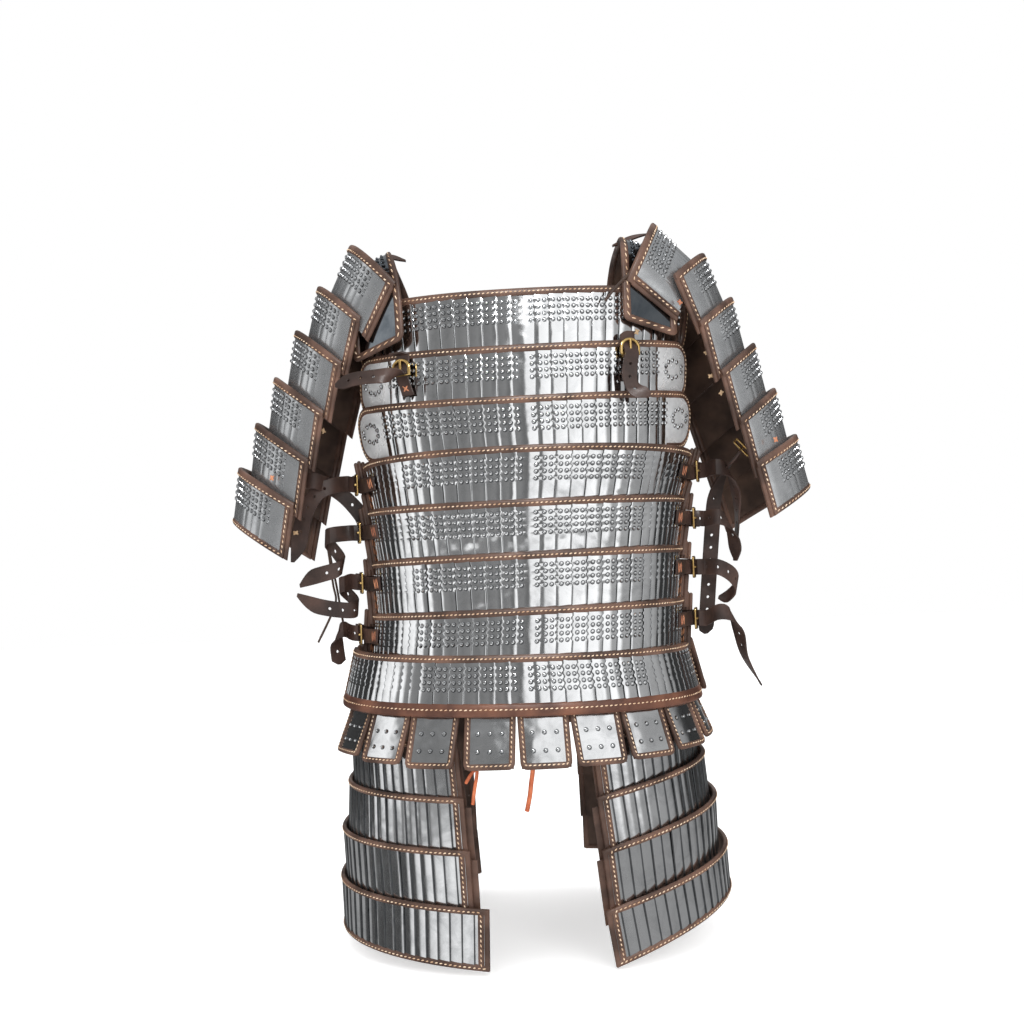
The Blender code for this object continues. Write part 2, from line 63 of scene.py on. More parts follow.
# ---- Camera
# A long lens level with the belly of the coat, turned a little about its own line of sight.

camera_lens = bpy.data.cameras.new("camera")
camera_lens.lens = 40.886
camera_lens.sensor_width = 36
camera_lens.shift_y = 0.0434
camera = bpy.data.objects.new("camera", camera_lens)
camera.matrix_world = (Matrix.Translation((-0.0205, -1.5, -0.395))
                       @ Matrix.Rotation(math.radians(90), 4, "X")
                       @ Matrix.Rotation(math.radians(-2.3), 4, "Z"))
bpy.context.scene.collection.objects.link(camera)
bpy.context.scene.camera = camera

# ---- Thongs
# Narrow leather laces knotted round the straps and under the tabs, their cut ends hanging free.


def smooth_line(points, steps=12):
    """An even curve through the points, whatever else each of them carries besides its place."""
    points = np.array(points, float)
    before = np.vstack([points[:1], points[:-2]])[:, None]
    after = np.vstack([points[2:], points[-1:]])[:, None]
    start, end = points[:-1, None], points[1:, None]
    t = np.linspace(0, 1, steps, endpoint=False)[None, :, None]
    curve = (2 * start + (end - before) * t + (2 * before - 5 * start + 4 * end - after) * t ** 2
             + (3 * start - before - 3 * end + after) * t ** 3) / 2
    return np.vstack([curve.reshape(-1, points.shape[1]), points[-1:]])


def lengths_along(line):
    """How far along the line each of its points is."""
    return np.concatenate([[0.0], np.cumsum(np.linalg.norm(np.diff(line, axis=0), axis=1))])


THONGS = {
    "thong_left_1": (3.0, [(-258, -8, -359), (-255, -6, -388), (-252, -3, -422), (-249, -4, -442),
                           (-255, -10, -461), (-272, -16, -495)]),
    "thong_left_2": (3.0, [(-256, -8, -364), (-253, -6, -390), (-248, -3, -422), (-245, -4, -442),
                           (-242, -10, -457), (-239, -14, -474)]),
    "thong_skirt_left": (4.2, [(-84, -158, -654), (-78, -164, -644), (-71, -166, -636), (-71, -166, -645),
                               (-74, -165, -660), (-77, -164, -678)]),
    "thong_skirt_middle": (5.4, [(-6, -170, -634), (-7, -169, -644), (-9, -167, -656), (-11, -166, -670),
                                 (-15, -165, -688)]),
    "thong_shoulder_right": (3.4, [(136, -112, -58), (131, -120, -66), (121, -127, -76), (110, -132, -88),
                                   (101, -134, -99)]),
}


def make_thong(name, width, spots):
    line = smooth_line(spots, 8) * MM
    curve = bpy.data.curves.new(name, "CURVE")
    curve.dimensions = "3D"
    curve.bevel_depth = 1.0
    curve.bevel_resolution = 2
    curve.use_fill_caps = True
    spline = curve.splines.new("POLY")
    spline.points.add(len(line) - 1)
    for point, spot in zip(spline.points, line):
        point.co = (*spot, 1)
        point.radius = width / 2 * MM
    thong = bpy.data.objects.new(name, curve)
    bpy.context.scene.collection.objects.link(thong)
    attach(thong, "root")
    lengths_along(line)[-1]
    return thong


thongs = [make_thong(name, *sizes) for name, sizes in THONGS.items()]

# ---- Rows of the front and the back
# Each row is a leather band with narrow steel plates riveted on it side by side, each plate over
# the edge of the next one out, and the band's edges folded into a stitched leather binding.

ROUNDNESS = 2.3
Row = namedtuple("Row", "top half_width half_depth shift low low_width low_depth low_shift"
                 " rise tilt end_depth corner")
BODY_ROWS = [
    Row(-80, 209, 128, 4, -160, 196.5, 132.5, 2.7, 2, 3, 34, 30),
    Row(-148, 203, 138, 3, -221, 199.5, 140.5, 1.4, 8, 3, 42, 27),
    Row(-209, 207, 147, 1, -279, 198.5, 145, 3.3, 8, 2.5, 38, 31),
    Row(-267, 207, 152, 4, -342, 189.5, 146, -0.8, -5, 0.5, 22, 3),
    Row(-330, 199.5, 153, 0, -403, 188.5, 146.3, -1.3, 1, 1.5, 22, 3),
    Row(-391, 195.5, 153, -1, -468, 189.5, 148.8, -2.9, -2, 3, 22, 3),
    Row(-456, 195.5, 154, -2, -521, 196, 158.5, -7, -2, 3, 22, 3),
    Row(-509, 209.5, 164, -14, -577, 226.5, 174, -14, 2, -4, 12, 5),
]
PLATE_PITCH = 17.8      # visible width of one plate
PLATE_THICK = 0.8
PLATE_LIFT = 0.95       # from the middle of a band's leather out to its plates
OVERLAP = 5             # hidden under the next plate
PLAIN_OVERLAP = 4       # the same for a plate without dots
DOT_PITCH = 7.8         # between the raised dots, up and down
FIRST_DOT = 14.5        # below the band's upper edge
DOT_SPREAD = 3.6        # either side of the plate's middle
SCALLOP = 1.35          # how far a plate's edge waves in and out
SCALLOP_FADE = 8        # the length below the last dot in which the waves die away
BINDING = 9.0           # how wide the folded binding shows on the outside
INSET = BINDING / 2 - 1  # from a band's edge to the middle of its binding
FLARE_LENGTH = 60       # of a free end that stands off the body

Band = namedtuple("Band", "reach height lay")


def between(low, high, share):
    return low + (high - low) * share


def outline(half_width, half_depth):
    """The body's outline from above: its lengths from the middle of the front, and its points."""
    turn = np.linspace(-math.pi, math.pi, 721)
    x = half_width * np.sign(np.sin(turn)) * np.abs(np.sin(turn)) ** (2 / ROUNDNESS)
    y = -half_depth * np.sign(np.cos(turn)) * np.abs(np.cos(turn)) ** (2 / ROUNDNESS)
    length = lengths_along(np.stack([x, y], axis=-1))
    return length - length[-1] / 2, x, y, turn


def on_outline(arc, line):
    return np.interp(arc, line[0], line[1]), np.interp(arc, line[0], line[2])


def quarter(line):
    return line[0][-1] / 2


def row_surface(row, back):
    """The band's middle surface, by arc from its middle and share of its height."""
    upper, lower = outline(row.half_width, row.half_depth), outline(row.low_width, row.low_depth)
    half_depth = (row.half_depth + row.low_depth) / 2
    line = outline((row.half_width + row.low_width) / 2, half_depth)
    mean = quarter(line)
    half_length = np.interp(math.acos((row.end_depth / half_depth) ** (ROUNDNESS / 2)), line[3], line[0])

    def surface(arc, share):
        high_x, high_y = on_outline(arc * quarter(upper) / mean, upper)
        low_x, low_y = on_outline(arc * quarter(lower) / mean, lower)
        aside = arc / half_length
        x = between(low_x + row.low_shift, high_x + row.shift, share)
        y = between(low_y, high_y, share)
        z = between(row.low, row.top, share) + row.rise * aside ** 2 + row.tilt * aside
        return np.stack([x, -y if back else y, z], axis=-1)

    return surface, half_length


def make_band(surface, first, last, height, facing, measured=True, flare=(0, 0)):
    """A band that pieces can be laid on, by their place along it, up it and out from it."""
    margin = (last - first) * 0.03
    steps = np.linspace(first - margin, last + margin, 501)
    lengths = lengths_along(surface(steps, np.full(501, 0.5))) if measured else steps
    start, end = np.interp((first, last), steps, lengths)

    def lay(spots):
        along, up, out = spots.T

        def at(along, up):
            return surface(np.interp(facing * along + (start + end) / 2, lengths, steps), up / height)

        outward = np.cross(at(along + 0.6, up) - at(along - 0.6, up),
                           at(along, up + 0.6) - at(along, up - 0.6))
        outward /= np.linalg.norm(outward, axis=1)[:, None]
        near_end = np.maximum(0.0, 1 - ((end - start) / 2 - np.abs(along)) / FLARE_LENGTH) ** 2
        out = out + np.where(along < 0, flare[0], flare[1]) * near_end
        return (at(along, up) + outward * out[:, None]) * MM

    return Band((end - start) / 2, height, lay)


def finish_piece(name, form, material, band=None, sharp=40):
    """Lays a flat form on its band, and makes it a piece that rides with the coat."""
    bmesh.ops.recalc_face_normals(form, faces=form.faces[:])
    # Faces of index 1 get the dark steel of painted shade as a second material.
    has_painted_shade = any(face.material_index for face in form.faces)
    mesh = bpy.data.meshes.new(name)
    form.to_mesh(mesh)
    form.free()
    spots = np.empty(len(mesh.vertices) * 3)
    mesh.vertices.foreach_get("co", spots)
    spots = spots.reshape(-1, 3)
    spots = band.lay(spots) if band else spots * MM
    mesh.vertices.foreach_set("co", spots.ravel())
    mesh.update()
    mesh.shade_smooth()
    mesh.set_sharp_from_angle(angle=math.radians(sharp))
    mesh.materials.append(material)
    if has_painted_shade:
        mesh.materials.append(painted_shade_steel)
    piece = bpy.data.objects.new(name, mesh)
    bpy.context.scene.collection.objects.link(piece)
    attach(piece, "root")
    return piece


def feed(node, inputs):
    """Gives each of these inputs its value, or links it to the output given for it."""
    for socket, value in inputs.items():
        if isinstance(value, bpy.types.NodeSocket):
            node.id_data.links.new(value, node.inputs[socket])
        else:
            node.inputs[socket].default_value = value
    return node


def add_node(tree, kind, inputs, **settings):
    node = tree.nodes.new(f"ShaderNode{kind}")
    for name, value in settings.items():
        setattr(node, name, value)
    return feed(node, inputs)


def add_math(tree, operation, *values):
    return add_node(tree, "Math", dict(enumerate(values)), operation=operation).outputs[0]


def add_range(tree, value, low, high, **settings):
    inputs = {"Value": value, "From Min": low, "From Max": high}
    return add_node(tree, "MapRange", inputs, **settings).outputs[0]


def add_mix(tree, share, first, second):
    return add_node(tree, "Mix", {0: share, 6: first, 7: second}, data_type="RGBA").outputs[2]


def add_noise(tree, place, scale, detail, roughness=0.5, distortion=0.0):
    return add_node(tree, "TexNoise", {
        "Vector": place, "Scale": scale, "Detail": detail, "Roughness": roughness,
        "Distortion": distortion}).outputs["Fac"]


def new_pattern(name, amount, mask):
    """A pattern with an amount to set, which gives a height and a mask."""
    pattern = bpy.data.node_groups.new(name, "ShaderNodeTree")
    pattern.interface.new_socket(amount, in_out="INPUT", socket_type="NodeSocketFloat").default_value = 1.0
    for label in ("Height", mask):
        pattern.interface.new_socket(label, in_out="OUTPUT", socket_type="NodeSocketFloat")
    place = add_node(pattern, "TexCoord", {}).outputs["Object"]
    given, end = pattern.nodes.new("NodeGroupInput"), pattern.nodes.new("NodeGroupOutput")
    return pattern, place, given.outputs[0], end


def make_grain():
    """Leather grain: fine pores and soft creases, with the places that handling has darkened."""
    grain, place, scale, end = new_pattern("leather_grain", "Scale", "Wear")
    spread = add_node(grain, "VectorMath", {0: place, "Scale": scale}, operation="SCALE").outputs[0]
    pores = add_node(grain, "TexVoronoi", {"Vector": spread, "Scale": 900}, feature="SMOOTH_F1")
    creases, patches = add_noise(grain, spread, 160, 6, 0.65), add_noise(grain, spread, 24, 5)
    feed(end, {0: add_math(grain, "MULTIPLY_ADD", pores.outputs["Distance"], 0.45, creases),
               1: add_range(grain, patches, 0.38, 0.66)})
    return grain


def make_polish():
    """Polished steel seen close: hand-hammered waviness, fine brushing and greasy smudges."""
    polish, place, waviness, end = new_pattern("steel_polish", "Waviness", "Smudge")
    swell, smears = add_noise(polish, place, 46, 1), add_noise(polish, place, 34, 7, 0.62, 0.6)
    brushing = add_node(polish, "Mapping", {"Vector": place, "Scale": (2600, 2600, 150)}).outputs[0]
    waves = add_math(polish, "MULTIPLY", swell, waviness)
    feed(end, {0: add_math(polish, "MULTIPLY_ADD", add_noise(polish, brushing, 1, 3), 0.012, waves),
               1: add_range(polish, smears, 0.42, 0.68)})
    return polish


def make_material(name, pattern, amount, tones, rough, bump, metallic, specular):
    """Two tones and two roughnesses that follow the pattern's mask, over a bump of its height."""
    material = bpy.data.materials.new(name)
    material.use_nodes = True
    tree = material.node_tree
    height, mask = add_node(tree, "Group", {0: amount}, node_tree=pattern).outputs
    raised = add_node(tree, "Bump", {"Strength": bump[0], "Distance": bump[1] * MM, "Height": height})
    varied = add_node(tree, "MapRange", {"Value": mask, "To Min": rough[0], "To Max": rough[1]})
    feed(tree.nodes["Principled BSDF"], {
        "Base Color": add_mix(tree, mask, (*tones[0], 1), (*tones[1], 1)),
        "Roughness": varied.outputs[0], "Normal": raised.outputs[0], "Metallic": metallic,
        "Specular IOR Level": specular})
    return material


leather_grain = make_grain()
steel_polish = make_polish()


def make_leather(name, dark, pale, roughness, scale=1.0, depth=0.25):
    """Vegetable-tanned leather: a darker and a paler tone in patches, over its grain."""
    return make_material(name, leather_grain, scale, (dark, pale), (roughness + 0.1, roughness - 0.08),
                         (0.6, depth), 0.0, 0.4)


def make_steel(name, clean, smudged, roughness, waviness=1.0, metallic=1.0):
    """Steel or brass: polished metal in clean and smudged patches, over its waviness and brushing."""
    return make_material(name, steel_polish, waviness, (clean, smudged), (roughness, roughness + 0.12),
                         (0.5, 1.2), metallic, 0.5)


plate_steel = make_steel("plate_steel", (0.86, 0.87, 0.88), (0.7, 0.71, 0.72), 0.06)
# A dark steel that paints shade: the discs round the dots' feet and the lines along the plain plates' edges.
painted_shade_steel = make_steel("painted_shade_steel", (0.15, 0.155, 0.16), (0.1, 0.105, 0.11), 0.3)
end_steel = make_steel("end_steel", (0.94, 0.95, 0.96), (0.72, 0.73, 0.74), 0.26, metallic=0.5)
band_leather = make_leather("band_leather", (0.045, 0.025, 0.017), (0.11, 0.063, 0.042), 0.6)
binding_leather = make_leather("binding_leather", (0.06, 0.031, 0.021), (0.16, 0.086, 0.06), 0.44)
hem_leather = make_leather("hem_leather", (0.08, 0.029, 0.017), (0.19, 0.078, 0.045), 0.42)
lace_leather = make_leather("lace_leather", (0.19, 0.07, 0.03), (0.38, 0.17, 0.08), 0.5, 1.5)
copper_lace = make_leather("copper_lace", (0.36, 0.12, 0.06), (0.72, 0.31, 0.16), 0.34, 2.0, 0.2)
thong_leather = make_leather("thong_leather", (0.4, 0.085, 0.03), (0.68, 0.2, 0.08), 0.55, 2.0)
for thong in thongs:
    thong.data.materials.append(thong_leather if "skirt" in thong.name else band_leather)
gold_thread = make_leather("gold_thread", (0.55, 0.34, 0.2), (0.95, 0.75, 0.54), 0.6, 3.0, 0.15)


def plate_side(up, height):
    """How far a plate's long edge waves in and out: a scallop to each dot, plain further down."""
    below = height - FIRST_DOT - up
    field = 3.5 * DOT_PITCH
    if not -DOT_PITCH / 2 <= below <= field + SCALLOP_FADE:
        return 0.0
    fade = 1.0 if below < field else 1 - (below - field) / SCALLOP_FADE
    return fade * math.cos(2 * math.pi * (below - FIRST_DOT) / DOT_PITCH) * SCALLOP


def add_dot(form, along, up, out, radius=2.3):
    """A raised dot: a low dome beaten up from behind, on a dark disc of painted shade set a little to the
    lower right of its middle.
    """
    # The flat dark disc is painted shade round the dot's foot, thicker towards the lower right.
    painted_shade_disc = bmesh.ops.create_circle(form, cap_ends=True, segments=8, radius=radius + 0.7)["verts"]
    bmesh.ops.translate(form, vec=(along + 0.3, up - 0.3, out - 0.26), verts=painted_shade_disc)
    painted_shade_disc[0].link_faces[0].material_index = 1
    dome = bmesh.ops.create_uvsphere(form, u_segments=8, v_segments=4, radius=radius)["verts"]
    bmesh.ops.delete(form, geom=[vert for vert in dome if vert.co.z < -0.1], context="VERTS")
    dome = [vert for vert in dome if vert.is_valid]
    rim = [edge for edge in {edge for vert in dome for edge in vert.link_edges} if edge.is_boundary]
    bmesh.ops.contextual_create(form, geom=rim)
    bmesh.ops.scale(form, vec=(1, 1, 0.85), verts=dome)
    bmesh.ops.translate(form, vec=(along, up, out), verts=dome)


def cut_plate(height, width, dots, wavy=True, crown=0.07, rounded=1.0, drop=0.38, thick=PLATE_THICK):
    """One plate, lying flat: a little crowned, its long edges rounded over and scalloped."""
    form = bmesh.new()
    steps = [DOT_PITCH * k / 4 + FIRST_DOT - DOT_PITCH / 2 for k in range(17)] if wavy else [height / 2]
    ups = [1] + sorted(height - step for step in steps) + [height - 2]
    inner = 1 - 2 * rounded / width
    shares = (-1, -inner, 0, inner, 1)
    bmesh.ops.create_grid(form, x_segments=4, y_segments=len(ups) - 1, size=0.5)
    for vert in form.verts:
        up = ups[round((vert.co.y + 0.5) * (len(ups) - 1))]
        share = shares[round((vert.co.x + 0.5) * 4)]
        edge = width / 2 + (plate_side(up, height) if wavy else 0.0)
        rounding = drop if abs(share) == 1 else 0.0
        vert.co = Vector((share * edge, up, crown * (1 - share * share) - rounding))
    # On a plain plate the rounded long edges take the dark steel: painted shadow lines between the plates.
    for face in form.faces:
        face.material_index = int(not wavy and abs(face.calc_center_median().x) > inner * width / 2)
    bmesh.ops.solidify(form, geom=form.faces[:], thickness=thick)
    for line in range(4):
        for across in dots:
            add_dot(form, across, height - FIRST_DOT - line * DOT_PITCH, 0.4)
    cut = bpy.data.meshes.new("cut_plate")
    form.to_mesh(cut)
    form.free()
    return cut


def add_copy(form, cut, place):
    placed = cut.copy()
    placed.transform(place)
    form.from_mesh(placed)
    bpy.data.meshes.remove(placed)


def set_plates(form, stations, outward, cut, lean, seed, askew=0.016):
    """Plates side by side: each leans so that its inner edge lies over the plate before it."""
    chance = random.Random(seed)
    for station in stations:
        add_copy(form, cut, Matrix.Translation((station, 0, PLATE_LIFT))
                 @ Matrix.Rotation(outward * lean + chance.uniform(-askew, askew), 4, "Y")
                 @ Matrix.Rotation(chance.uniform(-askew, askew) / 3, 4, "X"))
    bpy.data.meshes.remove(cut)


def add_sheet(form, columns, rows, place, thickness, mirrored=False):
    """A sheet of this thickness, each spot of it where place puts the spot's two shares."""
    sheet = bmesh.ops.create_grid(form, x_segments=columns, y_segments=rows, size=0.5)["verts"]
    faces = list({face for vert in sheet for face in vert.link_faces})
    for vert in sheet:
        vert.co = Vector(place(vert.co.x + 0.5, vert.co.y + 0.5))
    if mirrored:
        bmesh.ops.reverse_faces(form, faces=faces)
    bmesh.ops.solidify(form, geom=faces, thickness=thickness)


def end_cut(corner, left):
    """How much a round end takes off a band's height above and below, this far before it."""
    inside = max(0.0, corner - left)
    return corner - math.sqrt(max(0.0, corner * corner - inside * inside))


def make_backing(node, band, corner, columns=44):
    """The leather band itself, behind the plates, in place of the solid."""
    form = bmesh.new()
    reach, height = band.reach - 0.6, band.height - 1.2

    def place(across, up):
        along = between(-reach, reach, across)
        return along, band.height / 2 + (up - 0.5) * (height - 2 * end_cut(corner, reach - abs(along))), -0.4

    add_sheet(form, columns, 4, place, 1.1)
    backing = finish_piece(f"{node}_leather", form, band_leather, band)
    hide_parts(node)


def edge_line(left, right, low, top, corner, bottom_run):
    """The middle line of a binding round a band's edge, from its lower left to its lower right."""
    corners = [((left + corner, low + corner), 270), ((left + corner, top - corner), 180),
               ((right - corner, top - corner), 90), ((right - corner, low + corner), 360)]
    line, end = [(left + corner + bottom_run, low)], (right - corner - bottom_run, low)
    if not bottom_run:
        line, corners, end = [(left, low - 2)], corners[1:3], (right, low - 2)
    for (x, y), start in corners:
        turns = [math.radians(start - 15 * step) for step in range(7)]
        line += [(x + corner * math.cos(turn), y + corner * math.sin(turn)) for turn in turns]
    return line + [end]


def straight(band, up, short=1):
    """A line along the band at this height, which stops this far short of the band's ends."""
    return [(short - band.reach, up), (band.reach - short, up)]


def with_turns(spots):
    """The spots of a line, with the line's direction at each."""
    ahead = np.gradient(spots, axis=0)
    return spots, np.arctan2(ahead[:, 1], ahead[:, 0])


def even_steps(line, pitch):
    """The same line in steps of about this pitch."""
    line = np.array(line, float)
    lengths = lengths_along(line)
    places = np.linspace(0, lengths[-1], max(2, round(lengths[-1] / pitch)) + 1)
    return with_turns(np.stack([np.interp(places, lengths, column) for column in line.T], axis=-1))


def line_steps(line):
    """Steps for a swept binding: short ones round the corners, longer ones along the straights."""
    steps = [line[0]]
    for before, after in zip(line, line[1:]):
        pieces = max(1, math.ceil(math.dist(before, after) / 11))
        steps += [tuple(between(old, new, k / pieces) for old, new in zip(before, after))
                  for k in range(1, pieces + 1)]
    ahead = steps[1:] + [(1e9, 0)]
    return with_turns(np.array([spot for spot, after in zip(steps, ahead) if math.dist(spot, after) > 0.05]))


def sweep_binding(form, line, width, inner=-2.6, outer=2.8):
    """A strip of leather folded over an edge: its rounded section drawn along the edge's line."""
    spots, turns = line_steps(line)
    ring = bmesh.ops.create_circle(form, cap_ends=False, segments=12, radius=1)["verts"]
    for vert in ring:
        angle = math.atan2(vert.co.y, vert.co.x)
        across = math.copysign(abs(math.cos(angle)) ** 0.62, math.cos(angle))
        out = math.copysign(abs(math.sin(angle)) ** 0.75, math.sin(angle))
        vert.co = Vector((0, across * width / 2, (outer + inner) / 2 + out * (outer - inner) / 2))
    before = Matrix.Identity(4)
    edges = list({edge for vert in ring for edge in vert.link_edges})
    caps = [edges]
    for index, ((x, y), turn) in enumerate(zip(spots, turns)):
        place = Matrix.Translation((x, y, 0)) @ Matrix.Rotation(turn, 4, "Z")
        if index:
            grown = bmesh.ops.extrude_edge_only(form, edges=edges)["geom"]
            ring = [item for item in grown if isinstance(item, bmesh.types.BMVert)]
            edges = [item for item in grown if isinstance(item, bmesh.types.BMEdge)]
            edges = [edge for edge in edges if all(vert in ring for vert in edge.verts)]
        bmesh.ops.transform(form, matrix=place @ before.inverted(), verts=ring)
        before = place
    caps.append(edges)
    for cap in caps:
        bmesh.ops.contextual_create(form, geom=cap)


def add_stitches(form, line, pitch, aside, out, seed):
    """A row of running stitches in waxed thread, each lying a little askew in its own dent."""
    chance = random.Random(seed)
    spots, turns = even_steps(line, pitch)
    for (x, y), turn in zip(spots[1:-1], turns[1:-1]):
        place = (Matrix.Translation((x, y, out)) @ Matrix.Rotation(turn, 4, "Z")
                 @ Matrix.Translation((0, aside + chance.uniform(-0.12, 0.12), 0))
                 @ Matrix.Rotation(math.radians(15 + chance.uniform(-6, 6)), 4, "Z")
                 @ Matrix.Diagonal((pitch * chance.uniform(0.3, 0.36), 0.78, 0.6, 1)))
        bmesh.ops.create_uvsphere(form, u_segments=6, v_segments=4, radius=1, matrix=place)


def finish_binding(name, form, band, leather=binding_leather):
    finish_piece(name, form, leather, band, sharp=60)


def finish_plates(name, form, steel, band):
    finish_piece(f"{name}_plates", form, steel, band, sharp=35)


def bind_band(name, band, lines, seed, width=BINDING, leather=binding_leather, pitch=5.3, aside=0.0,
              outer=2.9):
    """The bindings along these lines of a band, and their stitches."""
    form, thread = bmesh.new(), bmesh.new()
    for line in lines:
        sweep_binding(form, line, width, outer=outer)
        add_stitches(thread, line, pitch, aside, outer, seed)
    finish_binding(f"{name}_binding", form, band, leather)
    finish_piece(f"{name}_stitches", thread, gold_thread, band)


def add_bead(form, place, sizes, turn=0.0):
    place = Matrix.Translation(place) @ Matrix.Rotation(turn, 4, "Z") @ Matrix.Diagonal((*sizes, 1))
    bmesh.ops.create_uvsphere(form, u_segments=8, v_segments=6, radius=1, matrix=place)


# The rolls of leather at a square end: two up to its chape, and three short ones above the chape,
# rounded over past the top corner. Heights are measured from the top, and 0 is the lower edge.
Roll = namedtuple("Roll", "place low high width outer")
END_ROLLS = [Roll(-1.5, 0, -37, 7.0, 13.5), Roll(-6.5, 0, -37, 6.8, 7.6), Roll(-0.5, -16, 3.0, 5.0, 5.2),
             Roll(-0.5, -16, 5.0, 5.0, 9.8), Roll(-0.5, -16, 3.5, 5.0, 14.2)]

# Where each front row's dotted plates start and end along it; further out the plates crowd
# together, so only their waved edges show. The two rows with round ends have an end plate there.
MIDDLE_PLATE = 13       # half of the middle plate that shows
PlateRun = namedtuple("PlateRun", "first last crowded end_plate")
PLATE_RUNS = [PlateRun(-220, 220, 12, 0), PlateRun(-400, 400, 12, 54), PlateRun(-400, 400, 12, 54),
              PlateRun(-154, 142, 12.5, 0), PlateRun(-147, 142, 12.5, 0), PlateRun(-142, 142, 12.5, 0),
              PlateRun(-137, 142, 12.5, 0), PlateRun(-122, 152, 12.5, 0)]


def add_run(form, height, start, pitch, count, outward, dotted, lean, seed):
    """Plates of one pitch from this place outwards, each with its dots in the middle of what shows."""
    width = pitch + (OVERLAP if dotted else PLAIN_OVERLAP)
    middle = -outward * (width - pitch) / 2
    if dotted:
        cut = cut_plate(height, width, (middle - DOT_SPREAD, middle + DOT_SPREAD))
    else:
        cut = cut_plate(height, width, (), crown=0.0, rounded=0.5, drop=0.12, thick=0.45)
    stations = [outward * (start + pitch * k + width / 2) for k in range(count)]
    set_plates(form, stations, outward, cut, lean, seed, 0.016 if dotted else 0.006)


END_CORNER = 28         # radius of an end plate's round corners
END_RISE = 1.7          # how much further out its outer end stands
RING_DOTS = 10


def add_end_plate(form, dots, band, length, outward):
    """The smooth plate that fills a row's round end, with a drop-shaped ring of dots."""
    def place(share, up):
        along = band.reach - 2 - (length + 6) * (1 - share)
        height = band.height - 3 - 2 * end_cut(END_CORNER, band.reach - 2 - along)
        return outward * along, band.height / 2 + (up - 0.5) * height, 0.9 + END_RISE * share

    add_sheet(form, 10, 6, place, PLATE_THICK, outward < 0)
    for step in range(RING_DOTS):
        turn = 2 * math.pi * (step + 0.5) / RING_DOTS
        along = (13 + 8 * max(0.0, math.cos(turn)) ** 3) * math.cos(turn) - 35
        add_dot(dots, outward * (band.reach + along), band.height / 2 + 3 + 11 * math.sin(turn),
                3.0 + END_RISE * (along + 2) / (length + 6), 2.4)


def plates_of_row(name, band, run, seed):
    form, ends = bmesh.new(), bmesh.new()
    middle = cut_plate(band.height, MIDDLE_PLATE * 2 + 6, (-9, 9))
    add_copy(form, middle, Matrix.Translation((0, 0, 0.2)))
    bpy.data.meshes.remove(middle)
    edge = band.reach - 3 - run.end_plate
    for outward in (-1, 1):
        limit = min(edge, run.last if outward > 0 else -run.first)
        count = max(1, round((limit - MIDDLE_PLATE) / PLATE_PITCH))
        pitch = (limit - MIDDLE_PLATE) / count
        add_run(form, band.height, MIDDLE_PLATE, pitch, count, outward, True, 0.1, seed + outward)
        count = max(0, int((edge - limit - 5) / run.crowded))
        add_run(form, band.height, limit, run.crowded, count, outward, False, 0.05, seed + 9 + outward)
    if run.end_plate:
        for outward in (-1, 1):
            add_end_plate(ends, form, band, run.end_plate, outward)
        finish_piece(f"{name}_end_plates", ends, end_steel, band, sharp=35)
    finish_plates(name, form, plate_steel, band)


def roll_ends(name, band):
    """The rolls of leather at a row's two square ends, and the lacing that shows beside them."""
    form, lacing = bmesh.new(), bmesh.new()
    for end in (-1, 1):
        for roll in END_ROLLS:
            place, high = end * (band.reach + roll.place), band.height + roll.high
            low = roll.low + (band.height if roll.low < 0 else 0)
            line = [(place, low), (place, high)]
            sweep_binding(form, line, roll.width, roll.outer - roll.width, roll.outer)
            add_bead(form, (place, high, roll.outer - roll.width / 2), (roll.width / 2,) * 3)
        for up in (8, 19, 30):
            for out in (1.6, 3.8):
                add_bead(lacing, (end * (band.reach - 10.6), up + out, out), (1.0, 4.6, 0.9))
    finish_binding(f"{name}_ends", form, band)
    finish_piece(f"{name}_lacing", lacing, lace_leather, band)


for side, back in (("front", False), ("back", True)):
    for number, row in enumerate(BODY_ROWS, start=1):
        name = f"{side}_row_{number}"
        surface, half_length = row_surface(row, back)
        flare = (7, 7) if row.corner > 20 else (12, 0) if back and number == 8 else (0, 0)
        band = make_band(surface, -half_length, half_length, row.top - row.low, -1 if back else 1,
                         flare=flare)
        make_backing(name, band, row.corner)
        plates_of_row(name, band, PLATE_RUNS[number - 1], 40 * number + back)
        edge = band.reach - INSET
        if row.corner > 20:
            line = edge_line(-edge, edge, INSET, band.height - INSET, row.corner - INSET, 28)
        elif back or number == 8:
            line = edge_line(-edge, edge, INSET, band.height - INSET, 2, 0)
        else:
            line = straight(band, band.height - INSET)
            roll_ends(name, band)
        bind_band(name, band, [line], seed=number)
        if number == 8:
            bind_band(f"{name}_hem", band, [straight(band, 6.5)], width=15.5, leather=hem_leather, pitch=5.6,
                      aside=0.5, outer=3.2, seed=90 + back)

# ---- Shoulder plates
# A short band of the same make over each shoulder: one smooth plate at each end and waved plates
# over the ridge, bound all round with longer stitches and hung from the strap at its front.

Shoulder = namedtuple("Shoulder", "inner crest_inner outer crest outer_crest low outer_low depth outer_depth")
SHOULDERS = {
    "left": Shoulder(-140, -158, -203, -10, -26, -139, -158, 118, 76),
    "right": Shoulder(124, 128, 190, -4, -22, -126, -142, 122, 84),
}
SQUARENESS = 0.6
SHOULDER_PITCH = 16
SHOULDER_SMOOTH = 68    # the smooth plate at each end
shoulder_steel = make_steel("shoulder_steel", (0.2, 0.22, 0.24), (0.12, 0.14, 0.16), 0.1, 0.9)


